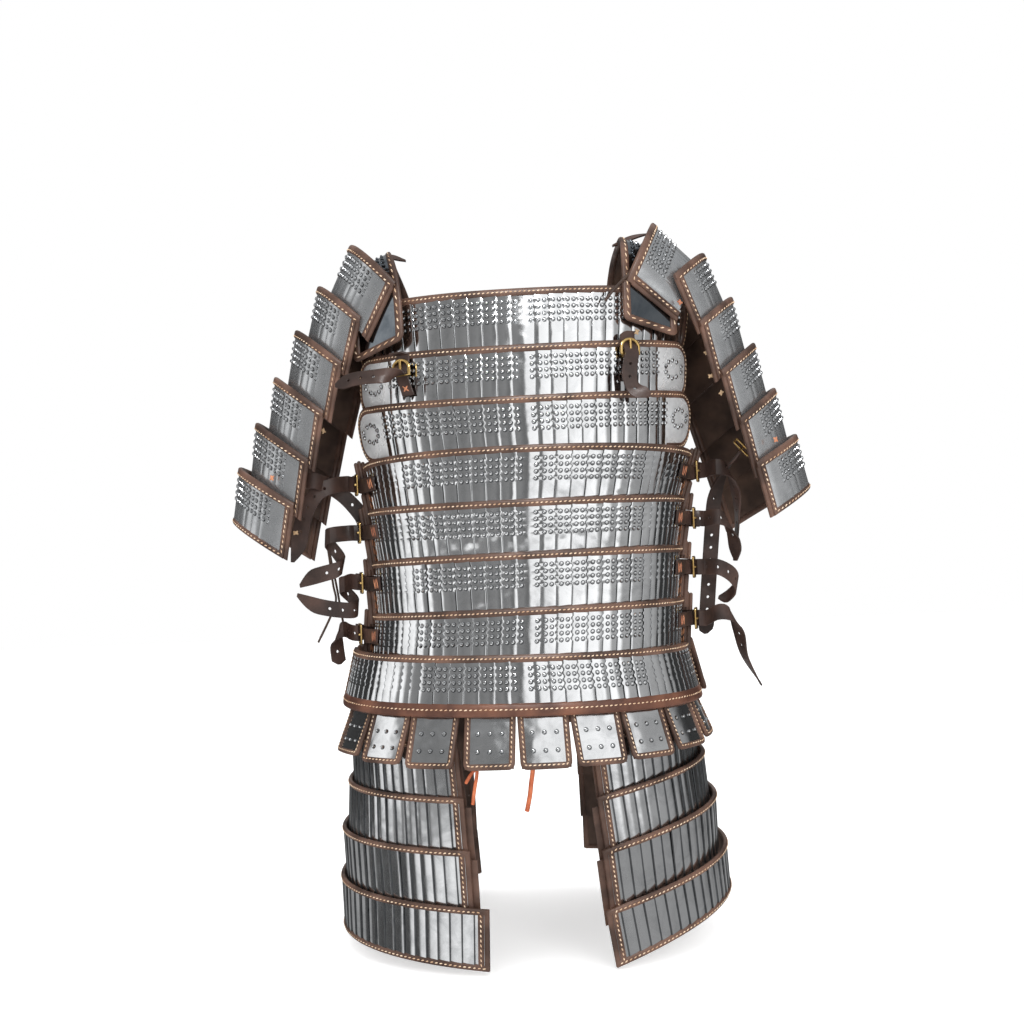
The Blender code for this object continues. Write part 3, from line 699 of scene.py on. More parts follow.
def shoulder_surface(plate):
    def surface(turn, share):
        """share goes from the outer edge, 0, to the inner edge by the neck."""
        across = np.sin(np.radians(turn))
        rise = np.maximum(0.0, np.cos(np.radians(turn)))
        x = between(plate.outer, between(plate.inner, plate.crest_inner, rise * rise), share)
        y = between(plate.outer_depth, plate.depth, share) * np.sign(across) * np.abs(across) ** SQUARENESS
        low = between(plate.outer_low, plate.low, share)
        crest = between(plate.outer_crest, plate.crest, share)
        return np.stack([x, y, between(low, crest, rise ** SQUARENESS)], axis=-1)

    return surface


def smooth_plate(form, left, right, top, out, columns=8):
    """A plain plate, a little crowned, with its edges under the binding."""
    def place(across, up):
        crown = (1 - (2 * across - 1) ** 2) * (1 - (2 * up - 1) ** 2) * 0.5
        return between(left, right, across), between(2, top, up), out + crown

    add_sheet(form, columns, 6, place, PLATE_THICK)


SIDES = (("left", -1), ("right", 1))
for side, facing in SIDES:
    plate = SHOULDERS[side]
    name = f"shoulder_{side}"
    band = make_band(shoulder_surface(plate), -89.5, 89.5, abs(plate.outer - plate.inner), facing)
    make_backing(name, band, 3)
    form = bmesh.new()
    count = round((band.reach - SHOULDER_SMOOTH) / SHOULDER_PITCH)
    for outward in (-1, 1):
        smooth_plate(form, outward * (band.reach - 2), outward * (band.reach - SHOULDER_SMOOTH - 2),
                     band.height - 2, 0.8)
        add_run(form, band.height, 0, SHOULDER_PITCH, count, outward, True, 0.07, 300 + facing)
    finish_plates(name, form, shoulder_steel, band)
    edge = band.reach - INSET
    ring = edge_line(-edge, edge, INSET, band.height - INSET, 3, 0.01)
    bind_band(name, band, [ring + [ring[0]]], pitch=9.0, outer=3.0, seed=310 + facing)
    form = bmesh.new()
    add_dot(form, -facing * (band.reach - 34), band.height * 0.42, 1.2, 3.2)
    finish_piece(f"{name}_rivet", form, shoulder_steel, band)

# ---- Upper-arm lames
# Six short bands hang round each upper arm, each under the one above: dotted plates side by side
# with a smooth one next to each end, a thick rolled binding over the top and bound ends.

Lame = namedtuple("Lame", "x z lean height radius depth low_radius low_depth droop front_turn rear_turn")
ARM_LAMES = {
    "left": [
        Lame(-209, 6, 30, 76, 82, 113, 77, 93, 26, 92, 92),
        Lame(-252, -43, 17, 74, 71, 98, 68, 85, 35, 90, 90),
        Lame(-283, -97, 14, 74, 74, 94, 71, 85, 36, 90, 92),
        Lame(-312, -155, 12, 74, 77, 94, 74, 86, 38, 90, 92),
        Lame(-338, -212, 11, 74, 82, 95, 79, 87, 39, 90, 92),
        Lame(-362, -268, 11, 69, 86, 96, 84, 89, 35, 90, 92),
    ],
    "right": [
        Lame(173, 18, 53, 76, 83, 121, 75, 90, 16, 98, 92),
        Lame(237, -22, 24, 75, 72, 105, 69, 87, 22, 80, 82),
        Lame(271, -77, 15, 75, 74, 95, 71, 85, 33, 79, 96),
        Lame(297, -136, 15, 74, 77, 95, 74, 86, 34, 79, 96),
        Lame(321, -194, 15, 74, 82, 95, 79, 87, 34, 79, 96),
        Lame(346, -254, 15, 69, 87, 96, 85, 89, 24, 80, 96),
    ],
}
LAME_PITCH = 15.0
LAME_SMOOTH = 24        # the smooth plate next to each end
lame_steel = make_steel("lame_steel", (0.5, 0.51, 0.52), (0.38, 0.39, 0.4), 0.2, 0.3, 0.8)


def lame_surface(lame, out):
    lean = math.radians(lame.lean)
    down = np.array((out * math.sin(lean), 0.0, -math.cos(lean)))
    outward = np.array((out * math.cos(lean), 0.0, math.sin(lean)))
    axis_top = np.array((lame.x, 0.0, lame.z)) - outward * lame.radius

    def surface(turn, share):
        angle = np.radians(turn)
        drop = (1 - share) * lame.height
        depth = between(lame.low_depth, lame.depth, share)
        radius = between(lame.low_radius, lame.radius, share)
        spot = (axis_top + down * (drop + lame.droop * (1 - np.cos(angle)))[:, None]
                + outward * (radius * np.cos(angle))[:, None])
        spot[:, 1] += depth * np.sin(angle)
        return spot

    return surface


bands = {}
for side, out in SIDES:
    for number, lame in enumerate(ARM_LAMES[side], start=1):
        name = f"arm_{side}_{number}"
        band = make_band(lame_surface(lame, out), -lame.front_turn, lame.rear_turn, lame.height, out)
        bands[name] = band
        make_backing(name, band, 3, columns=30)
        form = bmesh.new()
        limit = band.reach - LAME_SMOOTH
        count = round(limit / LAME_PITCH)
        for outward in (-1, 1):
            add_run(form, band.height, 0, limit / count, count, outward, True, 0.1,
                    400 + number * 4 + out + outward)
            smooth_plate(form, outward * (band.reach - 2), outward * (limit - 3), band.height - 2, 1.1, 4)
        finish_plates(name, form, lame_steel, band)
        edge = band.reach - INSET
        ends = [[(end * edge, 1), (end * edge, band.height - 7)] for end in (-1, 1)]
        if number == 6:
            ends.append(straight(band, INSET - 0.5))
        bind_band(f"{name}_ends", band, ends, width=7.4, pitch=6.2, outer=2.8, seed=500 + number)
        form = bmesh.new()
        for end in (-1, 1):
            middle = end * (band.reach + 2.6)
            sweep_binding(form, [(middle, 0.5), (middle, band.height - 6)], 5.6, outer=3.4)
        finish_binding(f"{name}_fold", form, band)
        bind_band(f"{name}_rim", band, [straight(band, band.height - INSET - 0.5, -4)], width=10.4, pitch=6.2,
                  aside=-2.2, outer=3.8, seed=520 + number)

# ---- Tabs
# Nine square tabs on a hidden belt at the front and at the back, each one steel plate held by six
# dome rivets on leather that is bound on its three free sides.

TAB_TOP, TAB_BEND, TAB_LOW = -557, -579, -637
TAB_WIDTH, TAB_PITCH, TAB_OFFSET, TAB_SPLIT, TAB_RISE, TAB_SHIFT = 58, 60.5, 22.5, 5, 12, -15
TAB_INNER_TOP = 62      # up to where a tab's plate and its side bindings reach
tab_steel = make_steel("tab_steel", (0.8, 0.81, 0.82), (0.6, 0.61, 0.62), 0.1, 1.6)


def tab_surface(back):
    sections = [outline(239, 182), outline(220, 166), outline(215, 162)]
    sizes = [quarter(line) for line in sections]

    def surface(station, share):
        number = np.clip(np.round(station / TAB_PITCH), -4, 4)
        middle = number * TAB_PITCH + TAB_OFFSET - np.where(number < -1, TAB_SPLIT, 0)
        offset = station - number * TAB_PITCH
        z = between(TAB_LOW, TAB_TOP, share)
        spots = [on_outline(middle * size / sizes[1] + offset, line) for line, size in zip(sections, sizes)]
        low = np.clip((z - TAB_LOW) / (TAB_BEND - TAB_LOW), -0.2, 1)[:, None]
        high = np.clip((z - TAB_BEND) / (TAB_TOP - TAB_BEND), 0, 1)[:, None]
        spots = [np.stack(spot, axis=-1) for spot in spots]
        flat = between(between(spots[0], spots[1], low), spots[2], high)
        z = z + TAB_RISE * (number / 4) ** 2 * (1 - low[:, 0])
        return np.stack([flat[:, 0] + TAB_SHIFT, -flat[:, 1] if back else flat[:, 1], z], axis=-1)

    return surface


for name, back in (("tabs_front", False), ("tabs_back", True)):
    facing = -1 if back else 1
    band = make_band(tab_surface(back), -4.5 * TAB_PITCH, 4.5 * TAB_PITCH, TAB_TOP - TAB_LOW, facing,
                     measured=False)
    leather, steel, binding, thread = (bmesh.new() for _ in range(4))
    for number in range(-4, 5):
        middle, half = facing * number * TAB_PITCH, TAB_WIDTH / 2
        add_sheet(leather, 6, 6, lambda across, up: (middle + (across - 0.5) * (TAB_WIDTH - 1),
                                                     0.6 + up * 74, -0.4), 1.1)
        smooth_plate(steel, middle - half + 2, middle + half - 2, TAB_INNER_TOP, 0.5, 6)
        for up in (20, 40):
            for across in (-14, 0, 14):
                add_dot(steel, middle + across, up, 1.3)
        left, right = middle - half + 3, middle + half - 3
        ring = edge_line(left, right, 3, 100, 4, 0.01)
        line = [(right, TAB_INNER_TOP)] + ring[-8:-1] + ring[1:8] + [(left, TAB_INNER_TOP)]
        sweep_binding(binding, line, 7.4, outer=2.8)
        add_stitches(thread, line, 5.4, -0.9, 2.8, 600 + number)
    backing = finish_piece(f"{name}_leather", leather, band_leather, band)
    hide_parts(name)
    finish_plates(name, steel, tab_steel, band)
    finish_binding(f"{name}_binding", binding, band)
    finish_piece(f"{name}_stitches", thread, gold_thread, band)

# ---- Skirt
# Four bands a side hang below the tabs, of plain narrow plates with straight edges. Their upper
# and end edges are bound, and the last one's lower edge; hanging leathers join them inside.

Skirt = namedtuple("Skirt", "top half_width half_depth shift rise front low low_width low_depth low_shift"
                   " low_rise low_front")
SKIRT_ROWS = {
    "left": [
        Skirt(-607, 217, 162, -15, 0, 92, -680, 217.5, 164.5, -14, 4, 87),
        Skirt(-670, 223, 170, -14, 4, 87, -740, 228, 170.5, -13, 5, 84),
        Skirt(-729, 234, 176, -13, 5, 82, -806, 233, 174, -12, 11, 80),
        Skirt(-795, 239, 180, -12, 11, 62, -866, 242, 180, -8, 17, 64),
    ],
    "right": [
        Skirt(-607, 219, 162, -15, 10, 62, -686, 219, 164.5, -15, 26, 70),
        Skirt(-675, 226, 170, -14, 28, 66, -746, 230.5, 170.5, -13, 35, 74),
        Skirt(-735, 237, 176, -12, 35, 69, -814, 237, 174, -11, 42, 77),
        Skirt(-803, 244, 180, -8, 42, 70, -869, 247, 180, -8, 50, 80),
    ],
}
SKIRT_REAR = 75
FRONT_FOLD = 6.5        # the plain outer roll of the binding on the front edge
SKIRT_PITCH = 14.4
skirt_steel = make_steel("skirt_steel", (0.72, 0.73, 0.74), (0.55, 0.56, 0.57), 0.12, 0.35)


def arc_to_width(width, line):
    return np.interp(width, line[1][360:541], line[0][360:541])


def skirt_surface(skirt, out):
    upper, lower = outline(skirt.half_width, skirt.half_depth), outline(skirt.low_width, skirt.low_depth)

    def edge(line, shift, front, share_back):
        start = arc_to_width(front - shift, line)
        arc = between(start, 2 * quarter(line) - arc_to_width(SKIRT_REAR, line), share_back)
        x, y = on_outline(arc, line)
        rise = np.sin(math.pi / 2 * np.clip((arc - start) / (quarter(line) - start), -1, 1))
        return x + shift, y, rise

    def surface(share_back, share_up):
        high_x, high_y, rise = edge(upper, skirt.shift * out, skirt.front, share_back)
        low_x, low_y, low_rise = edge(lower, skirt.low_shift * out, skirt.low_front, share_back)
        z = between(skirt.low + skirt.low_rise * low_rise, skirt.top + skirt.rise * rise, share_up)
        x, y = between(low_x, high_x, share_up), between(low_y, high_y, share_up)
        return np.stack([out * x, y, z], axis=-1)

    return surface


for side, out in SIDES:
    for number, skirt in enumerate(SKIRT_ROWS[side], start=1):
        name = f"skirt_{side}_{number}"
        band = make_band(skirt_surface(skirt, out), 0, 1, skirt.top - skirt.low, out)
        bands[name] = band
        make_backing(name, band, 3)
        form = bmesh.new()
        plain = cut_plate(band.height, SKIRT_PITCH + PLAIN_OVERLAP, (), wavy=False, crown=0.3)
        count = round((band.reach - 3) * 2 / SKIRT_PITCH)
        pitch = (band.reach - 3) * 2 / count
        stations = [out * (pitch * (k + 0.5) + 5 - band.reach) for k in range(count)]
        set_plates(form, stations, out, plain, 0.1, 700 + number * 4 + out)
        finish_plates(name, form, skirt_steel, band)
        edge = band.reach - INSET
        ends = sorted((out * edge, -out * (edge - FRONT_FOLD)))
        lines = [edge_line(ends[0], ends[1], INSET, band.height - INSET, 3, 0)]
        if number == 4:
            lines.append(straight(band, INSET))
        form = bmesh.new()
        middle, high = -out * (band.reach - FRONT_FOLD / 2), band.height - INSET
        sweep_binding(form, [(middle, 0.5), (middle, band.height - 0.5)], FRONT_FOLD, outer=2.6)
        sweep_binding(form, [(middle + out * FRONT_FOLD, high), (middle - out, high)], 7.2)
        finish_binding(f"{name}_fold", form, band)
        bind_band(name, band, lines, width=7.6, pitch=5.6, seed=720 + number)

# ---- Inner leathers
# A belt behind the tabs, and two leathers inside each sleeve and each side of the skirt, that the
# lames and the rows hang from. The skirt's foremost one shows past its second and third rows.


def plain_leather(name, band, left, right, low, top, out, columns):
    form = bmesh.new()
    add_sheet(form, columns, 3, lambda across, up: (between(left, right, across), between(low, top, up), out),
              1.6)
    finish_piece(name, form, binding_leather, band)


def belt_surface(back):
    line = outline(211.5, 158.5)

    def surface(arc, share):
        x, y = on_outline(arc, line)
        return np.stack([x + TAB_SHIFT, -y if back else y, TAB_BEND + 2 + 19 * share], axis=-1)

    return surface


for side, back in (("front", False), ("back", True)):
    band = make_band(belt_surface(back), -300, 300, 19, -1 if back else 1)
    plain_leather(f"tabs_{side}_belt", band, -band.reach, band.reach, 0, 19, 0, 60)

HANGER_OUT, HANGER_LOW, HANGER_SHORT = -3.6, -8, 12      # from the band: out, up, and below its top
for side, out in SIDES:
    for number in (1, 2, 3):
        band = bands[f"skirt_{side}_{number}"]
        for where, place, shown in (("front", -out * band.reach, 7 if number > 1 else 2), ("middle", 0, 12)):
            middle = place + out * (12 - shown)
            plain_leather(f"skirt_{side}_{number}_hanger_{where}", band, middle - 12, middle + 12, HANGER_LOW,
                          band.height - HANGER_SHORT, HANGER_OUT, 4)
    for number in (1, 2, 3, 4, 5):
        band = bands[f"arm_{side}_{number}"]
        for where, middle in (("front", -out * (band.reach - 30)), ("middle", 0)):
            plain_leather(f"arm_{side}_{number}_hanger_{where}", band, middle - 11, middle + 11, HANGER_LOW,
                          band.height - HANGER_SHORT, HANGER_OUT, 4)

# ---- Side straps and buckles
# Four straps a side run from the back rows through brass frames on short leather chapes, which
# copper lacing holds to the front rows. Their punched ends hang free.

# A strap runs through folds: each is its place, and the way from its lower to its upper edge there.
STRAP_THICK, STRAP_WIDTH = 2.2, 20
HOLE, HOLE_PITCH = 1.8, 16      # half of a hole's width, and from hole to hole
FRAME_REACH, FRAME_WIRE = 14, 2.6
HALF_FRAME = (FRAME_REACH + FRAME_WIRE) / 2
BUCKLE_DROP, BUCKLE_X, BUCKLE_Y = 27, 225, -13      # the first from a row's upper edge
FREE_ENDS = {
    "left": [
        [(-243, -34, -297, 0, 0, 1), (-262, -38, -306, -0.5, 0, 1), (-278, -38, -330, -1, 0, 0.45),
         (-287, -34, -362, -1, 0, 0.15), (-291, -30, -392, -1, 0, 0.1)],
        [(-247, -33, -359, 0, 0, 1), (-256, -24, -363, 0.1, 0, 1), (-248, -15, -376, 0.2, 0, 1),
         (-236, -18, -394, 0.25, 0, 1), (-240, -27, -402, 0.1, 0, 1), (-262, -30, -408, -0.2, 0, 1),
         (-292, -26, -415, -0.2, 0, 1)],
        [(-233, -33, -421, 0, 0, 1), (-240, -25, -424, 0, 0, 1), (-230, -15, -436, 0.1, 0, 1),
         (-219, -20, -450, 0.1, 0, 1), (-226, -31, -455, 0, 0, 1), (-258, -39, -450, 0.1, 0, 1),
         (-294, -40, -439, 0.3, 0, 1)],
        [(-236, -33, -478, 0, 0, 1), (-245, -25, -484, 0.3, 0.4, 1), (-248, -18, -500, 0.7, 0.6, 0.2),
         (-246, -16, -524, 0.8, 0.6, 0)],
    ],
    "right": [
        [(242, -33, -292, 0, 0, 1), (257, -27, -297, -0.35, 0, 1), (267, -15, -317, -0.6, 0.7, 0.7),
         (271, -6, -350, -0.1, 1, 0.1), (269, 0, -388, 0, 1, 0), (266, 3, -412, 0, 1, 0)],
        [(240, -33, -355, 0, 0, 1), (254, -27, -362, -0.35, 0, 1), (263, -18, -384, -0.7, 0.6, 0.4),
         (264, -20, -412, -0.6, 0.8, 0)],
        [(240, -33, -419, 0.1, 0, 1), (258, -26, -430, 0.3, 0, 1), (265, -12, -444, 0.2, 0, 1),
         (256, 2, -457, 0.2, 0, 1), (243, 5, -462, 0.3, 0, 1)],
        [(238, -33, -475, 0, 0, 1), (254, -29, -480, -0.3, 0.2, 1), (264, -20, -502, -0.7, 0.9, 0.3),
         (272, -14, -535, -0.2, 1, 0), (293, -8, -573, 0.2, 1, 0.1)],
    ],
}
# How far back each tip starts, and to which of its edges it is cut.
STRAP_TIPS = {"left": [(26, 0.9), (24, -0.9), (30, 0.9), (3, 0)],
              "right": [(20, 0), (20, 0), (20, 0.5), (14, 0)]}
UP = Vector((0, 0, 1))
strap_leather = make_leather("strap_leather", (0.03, 0.016, 0.012), (0.08, 0.044, 0.034), 0.44, 0.9)
brass = make_steel("brass", (0.86, 0.6, 0.24), (0.6, 0.38, 0.14), 0.2, 0.4)


def fold(spot, edge=UP):
    return (*spot, *edge)


def strap_band(folds, width, facing=1):
    """A band through the folds, for a strap whose width lies along each fold's edge direction."""
    rows = np.array(folds, float)
    rows[:, 3:] /= np.linalg.norm(rows[:, 3:], axis=1)[:, None]
    line = smooth_line(rows)
    for end, inner in ((0, 1), (-1, -2)):
        beyond = line[end].copy()
        ahead = (line[end] - line[inner])[:3]
        beyond[:3] += 20 * ahead / np.linalg.norm(ahead)
        line = np.vstack([line, beyond] if end else [beyond, line])
    lengths = lengths_along(line[:, :3])

    def surface(place, share):
        spot = np.stack([np.interp(place, lengths, column) for column in line.T], axis=-1)
        edge = spot[:, 3:] / np.linalg.norm(spot[:, 3:], axis=1)[:, None]
        return spot[:, :3] + edge * (share - 0.5)[:, None] * width

    return make_band(surface, 20, lengths[-1] - 20, width, facing)


def cut_strap(reach, width, tip=(0, 0), holes=(), facing=1):
    """A strap lying flat: its holes punched through it, and its far end narrowed to a tip."""
    form = bmesh.new()
    plain = np.linspace(-reach, reach, round(reach / 2.5) + 1)
    stations = sorted([place for place in plain if all(abs(place - hole) > HOLE + 1 for hole in holes)]
                      + [hole + side * HOLE for hole in holes for side in (-1, 0, 1)])
    lines = (-width / 2, -HOLE, 0, HOLE, width / 2)
    bmesh.ops.create_grid(form, x_segments=len(stations) - 1, y_segments=4, size=0.5)
    for vert in form.verts:
        along = stations[round((vert.co.x + 0.5) * (len(stations) - 1))]
        across = lines[round((vert.co.y + 0.5) * 4)]
        left = reach - along
        narrow = 0.22 + 0.78 * math.sin(math.pi / 2 * min(1.0, left / tip[0])) if tip[0] else 1.0
        skew = tip[1] * (1 - narrow) * width / 2
        for hole in holes:
            if abs(abs(along - hole) - HOLE) < 0.01 and abs(across) == HOLE:
                along, across = hole + (along - hole) * 0.7, across * 0.7
        across = across * (narrow if abs(across) > HOLE else 1) + skew
        vert.co = Vector((along * facing, width / 2 + across, 0))
    punched = [face for face in form.faces for hole in holes
               if abs(face.calc_center_median().x * facing - hole) < HOLE
               and abs(face.calc_center_median().y - width / 2) < HOLE]
    bmesh.ops.delete(form, geom=punched, context="FACES")
    if facing < 0:
        bmesh.ops.reverse_faces(form, faces=form.faces[:])
    bmesh.ops.solidify(form, geom=form.faces[:], thickness=STRAP_THICK)
    bmesh.ops.translate(form, vec=(0, 0, STRAP_THICK / 2), verts=form.verts)
    edges = [edge for edge in form.edges if edge.calc_face_angle(0) > 1]
    bmesh.ops.bevel(form, geom=edges, offset=0.45, affect="EDGES", segments=1, profile=0.5, material=-1)
    return form


def make_strap(name, folds, width, tip, node=None, hole_count=5, first_hole=None):
    band = strap_band(folds, width)
    first = band.reach - (tip[0] + 14 if first_hole is None else first_hole)
    holes = [first - k * HOLE_PITCH for k in range(hole_count)]
    strap = finish_piece(name, cut_strap(band.reach, width, tip, holes), strap_leather, band)
    if node:
        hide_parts(node)


def flat_band(middle, along, up):
    """A flat band round this point, for what stands by itself, such as a frame."""
    middle, along, up = (np.array(item) for item in (middle, along, up))
    outward = np.cross(along, up)

    def lay(spots):
        return (middle + spots[:, :1] * along + spots[:, 1:2] * up + spots[:, 2:] * outward) * MM

    return Band(0.0, 0.0, lay)


def make_frame(name, band, line, tongue, wire=FRAME_WIRE):
    """A cast frame round this line, with its tongue on it."""
    form = bmesh.new()
    sweep_binding(form, line + [line[0]], wire, inner=-FRAME_WIRE / 2, outer=wire - FRAME_WIRE / 2)
    sweep_binding(form, tongue, wire - 0.4, inner=1.2, outer=3.4)
    finish_piece(name, form, brass, band, sharp=60)


def stand_off(surface, arc, share, stand):
    """A point this far outside a row, with the ways out of it, along it and up its slope there."""
    def at(arc, share):
        return Vector(surface(np.array([arc]), np.array([share]))[0])

    along = at(arc + 2, share) - at(arc - 2, share)
    along.z = 0
    along.normalize()
    outward = Vector((along.y, -along.x, 0))
    spot = at(arc, share)
    if outward.x * spot.x + outward.y * spot.y < 0:
        outward.negate()
    slope = at(arc, share + 0.1) - at(arc, share - 0.1)
    return spot + outward * stand, outward, along, slope.normalized()


def make_chape(name, folds, width, facing, node, crossed=False):
    """The short leather that holds a frame, with the lacing at its inner end."""
    band = strap_band(folds, width, facing)
    chape = finish_piece(name, cut_strap(band.reach, width, facing=facing), strap_leather, band)
    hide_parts(node)
    form = bmesh.new()
    strokes = [(9, 1.3, 5.2, 0.9, turn) for turn in (-0.75, 0.75)] if crossed else \
        [(11 + facing * (k - 1) * 16 / 3, 0.9, 6.5, 0.65, (-1) ** k * 0.16) for k in range(3)]
    for along, *sizes, turn in strokes:
        add_bead(form, (facing * (along - band.reach), width / 2, STRAP_THICK / 2), sizes, turn)
    finish_piece(f"{name}_lacing", form, copper_lace, band)


for side, out in SIDES:
    for number, row in enumerate(BODY_ROWS[3:7], start=1):
        surface, half_length = row_surface(row, False)
        z = row.top - BUCKLE_DROP
        share = (z - row.low) / (row.top - row.low)
        chape = []
        for distance, stand in ((50, 4.4), (36, 5.0), (22, 6.8), (10, 9.6)):
            spot, _, _, slope = stand_off(surface, out * (half_length - distance), share, stand)
            chape.append(fold(spot, slope))
        along = (Vector((out * BUCKLE_X + row.shift * 0.6, BUCKLE_Y, z)) - spot).normalized()
        outward = Vector((along.y, -along.x, 0)) * out
        inner_bar = spot + along * 4
        middle = inner_bar + along * HALF_FRAME
        chape += [fold(inner_bar + outward * 1.6), fold(inner_bar + along * 2.6 - outward * 0.4)]
        make_chape(f"chape_{side}_{number}", chape, STRAP_WIDTH - 2, out, f"side_buckle_{side}_{number}")
        width = STRAP_WIDTH / 2 + 2.6
        ring = edge_line(-HALF_FRAME, HALF_FRAME, -width, width, 2.5, 0.01)
        turned = flat_band(middle + outward * 1.5, (0.27, 0.96 * out, 0), UP)
        make_frame(f"frame_{side}_{number}", turned, ring, [(-HALF_FRAME, 0), (HALF_FRAME, 0)])
        surface, strap = row_surface(row, True)[0], []
        for distance in (24, 10, -6):
            spot, _, _, slope = stand_off(surface, out * (half_length - distance), share, 4.4)
            strap.append(fold(spot, slope))
        bar = middle + along * HALF_FRAME
        turn = FRAME_WIRE / 2 + STRAP_THICK / 2 + 1.85
        strap += [fold(bar - outward * turn + along * 7), fold(bar - outward * (turn - 0.4) - along * 0.5),
                  fold(bar - along * turn), fold(bar + outward * turn - along * 0.3),
                  fold(bar + outward * (turn + 2.0) + along * 7)] + FREE_ENDS[side][number - 1]
        make_strap(f"strap_{side}_{number}", strap, STRAP_WIDTH, STRAP_TIPS[side][number - 1],
                   f"side_strap_{side}_{number}")

# ---- Shoulder straps and buckles
# A strap from each shoulder plate's front end runs down through a brass horseshoe frame, whose
# chape is laced to the second row.

# For each side: the strap's x, the frame's z, the chape's z and the chape's x.
SHOULDER_FASTENINGS = {"left": (-139, -168, -200, -133), "right": (126, -158, -196, 125)}
SHOULDER_STRAP = 19
SHOULDER_ENDS = {
    "left": [(-152, -137, -177, 0.6, -0.2, 0.8), (-171, -139, -178, 0, 0.45, 1),
             (-197, -132, -179, 0, 0.5, 1), (-222, -120, -184, 0, 0.4, 1)],
    "right": [(126, -135, -182, 1, 0.3, 0), (127, -136, -196, 1, 0.3, -0.1),
              (134, -139, -207, 0.8, 0.1, 0.5), (149, -141, -212, 0.2, -0.2, 1)],
}


def horseshoe_line(width):
    """Round its top and straight down both arms to the bar, from the bar's left end."""
    arch = [math.radians(180 - 15 * k) for k in range(13)]
    top = [(width * math.cos(turn), HALF_FRAME - 9 + 10 * math.sin(turn)) for turn in arch]
    return [(-width, -HALF_FRAME)] + top + [(width, -HALF_FRAME)]


for side, out in SIDES:
    strap_x, frame_z, chape_z, chape_x = SHOULDER_FASTENINGS[side]
    plate, row = SHOULDERS[side], BODY_ROWS[1]
    surface = row_surface(row, False)[0]

    def on_row(x, z, stand):
        share = min(1.0, (z - row.low) / (row.top - row.low))
        line = outline(between(row.low_width, row.half_width, share),
                       between(row.low_depth, row.half_depth, share))
        return stand_off(surface, out * arc_to_width(abs(x) - out * row.shift, line), share, stand)

    foot = on_row(chape_x, chape_z, 4.2)[0]
    bar, outward, across, _ = on_row(strap_x, frame_z - FRAME_REACH / 2, 6.0)
    middle = bar + UP * HALF_FRAME
    chape = [fold(foot, across), fold((foot + bar) / 2 + outward * 0.3, across),
             fold(bar - UP * 0.8 + outward * 1.2, across)]
    make_chape(f"chape_shoulder_{side}", chape, SHOULDER_STRAP - 2, -1, f"shoulder_buckle_{side}", True)
    make_frame(f"frame_shoulder_{side}", flat_band(middle + outward * 1.2, across, UP),
               horseshoe_line(SHOULDER_STRAP / 2 + 2.2), [(0, -HALF_FRAME), (0, HALF_FRAME + 1)], 3.7)
    inward = out * (SHOULDER_STRAP / 2 + 1)
    share = inward / (plate.outer - plate.inner)
    top = (plate.inner + inward, -between(plate.depth, plate.outer_depth, share) - 0.6,
           between(plate.low, plate.outer_low, share) - 4.5)
    upper = middle + UP * HALF_FRAME + outward * 1.2
    clear = FRAME_WIRE / 2 + STRAP_THICK / 2 + 1.3
    spots = [top, upper - outward * clear + UP * 8, upper - outward * clear, middle + outward * 1.8,
             bar + outward * (clear + 2.2)]
    strap = [fold(spot, across) for spot in spots] + SHOULDER_ENDS[side]
    make_strap(f"strap_shoulder_{side}", strap, SHOULDER_STRAP, (16, 0),
               f"shoulder_strap_{side}", 3, 20)

# ---- Knots and neck leathers
# Tan and copper-coloured knots tie the lames to their leathers, and a dark pointed leather lies
# over each shoulder by the neck.

knot_leather = make_leather("knot_leather", (0.3, 0.19, 0.1), (0.55, 0.38, 0.22), 0.55, 2.0)
TAN_KNOTS = [(138, -122, -135, 0.3), (226, -84, -156, 0.9), (230, -84, -185, 1.4), (242, -84, -206, 0.6),
             (-244, -84, -233, -0.4), (-281, -92, -356, 1.5)]
COPPER_KNOTS = [(193, -104, -98, -0.6), (-308, -88, -288, 0.2), (305, -88, -266, -0.2)]
for number, (x, y, z, tilt) in enumerate(TAN_KNOTS + COPPER_KNOTS, start=1):
    form = bmesh.new()
    for turn in (-0.6, 0.6):
        add_bead(form, (0, 0, 0), (1.6, 3.9, 1.3), turn)
    bmesh.ops.transform(form, verts=form.verts, matrix=Matrix.Translation((x, y, z))
                        @ Matrix.Rotation(tilt, 4, "Y") @ Matrix.Rotation(math.pi / 2, 4, "X"))
    finish_piece(f"knot_{number}", form, knot_leather if number <= len(TAN_KNOTS) else copper_lace)

make_strap("neck_leather_left", [(-176, -10, -8, 0, 1, 0.2), (-160, -28, -10, 0, 0.8, 0.6),
                                 (-139, -40, -19, 0, 0.6, 0.8)], 12, (26, 0), None, 0)
make_strap("neck_leather_right", [(175, 4, 15, 0, 1, 0.2), (150, -14, 6, 0, 0.8, 0.6),
                                  (122, -30, -8, 0, 0.6, 0.8)], 12, (30, 0), None, 0)

# ---- Arm straps
# A strap from the arm guard's fourth or fifth lame passes behind the first side strap on each side
# and hangs free.

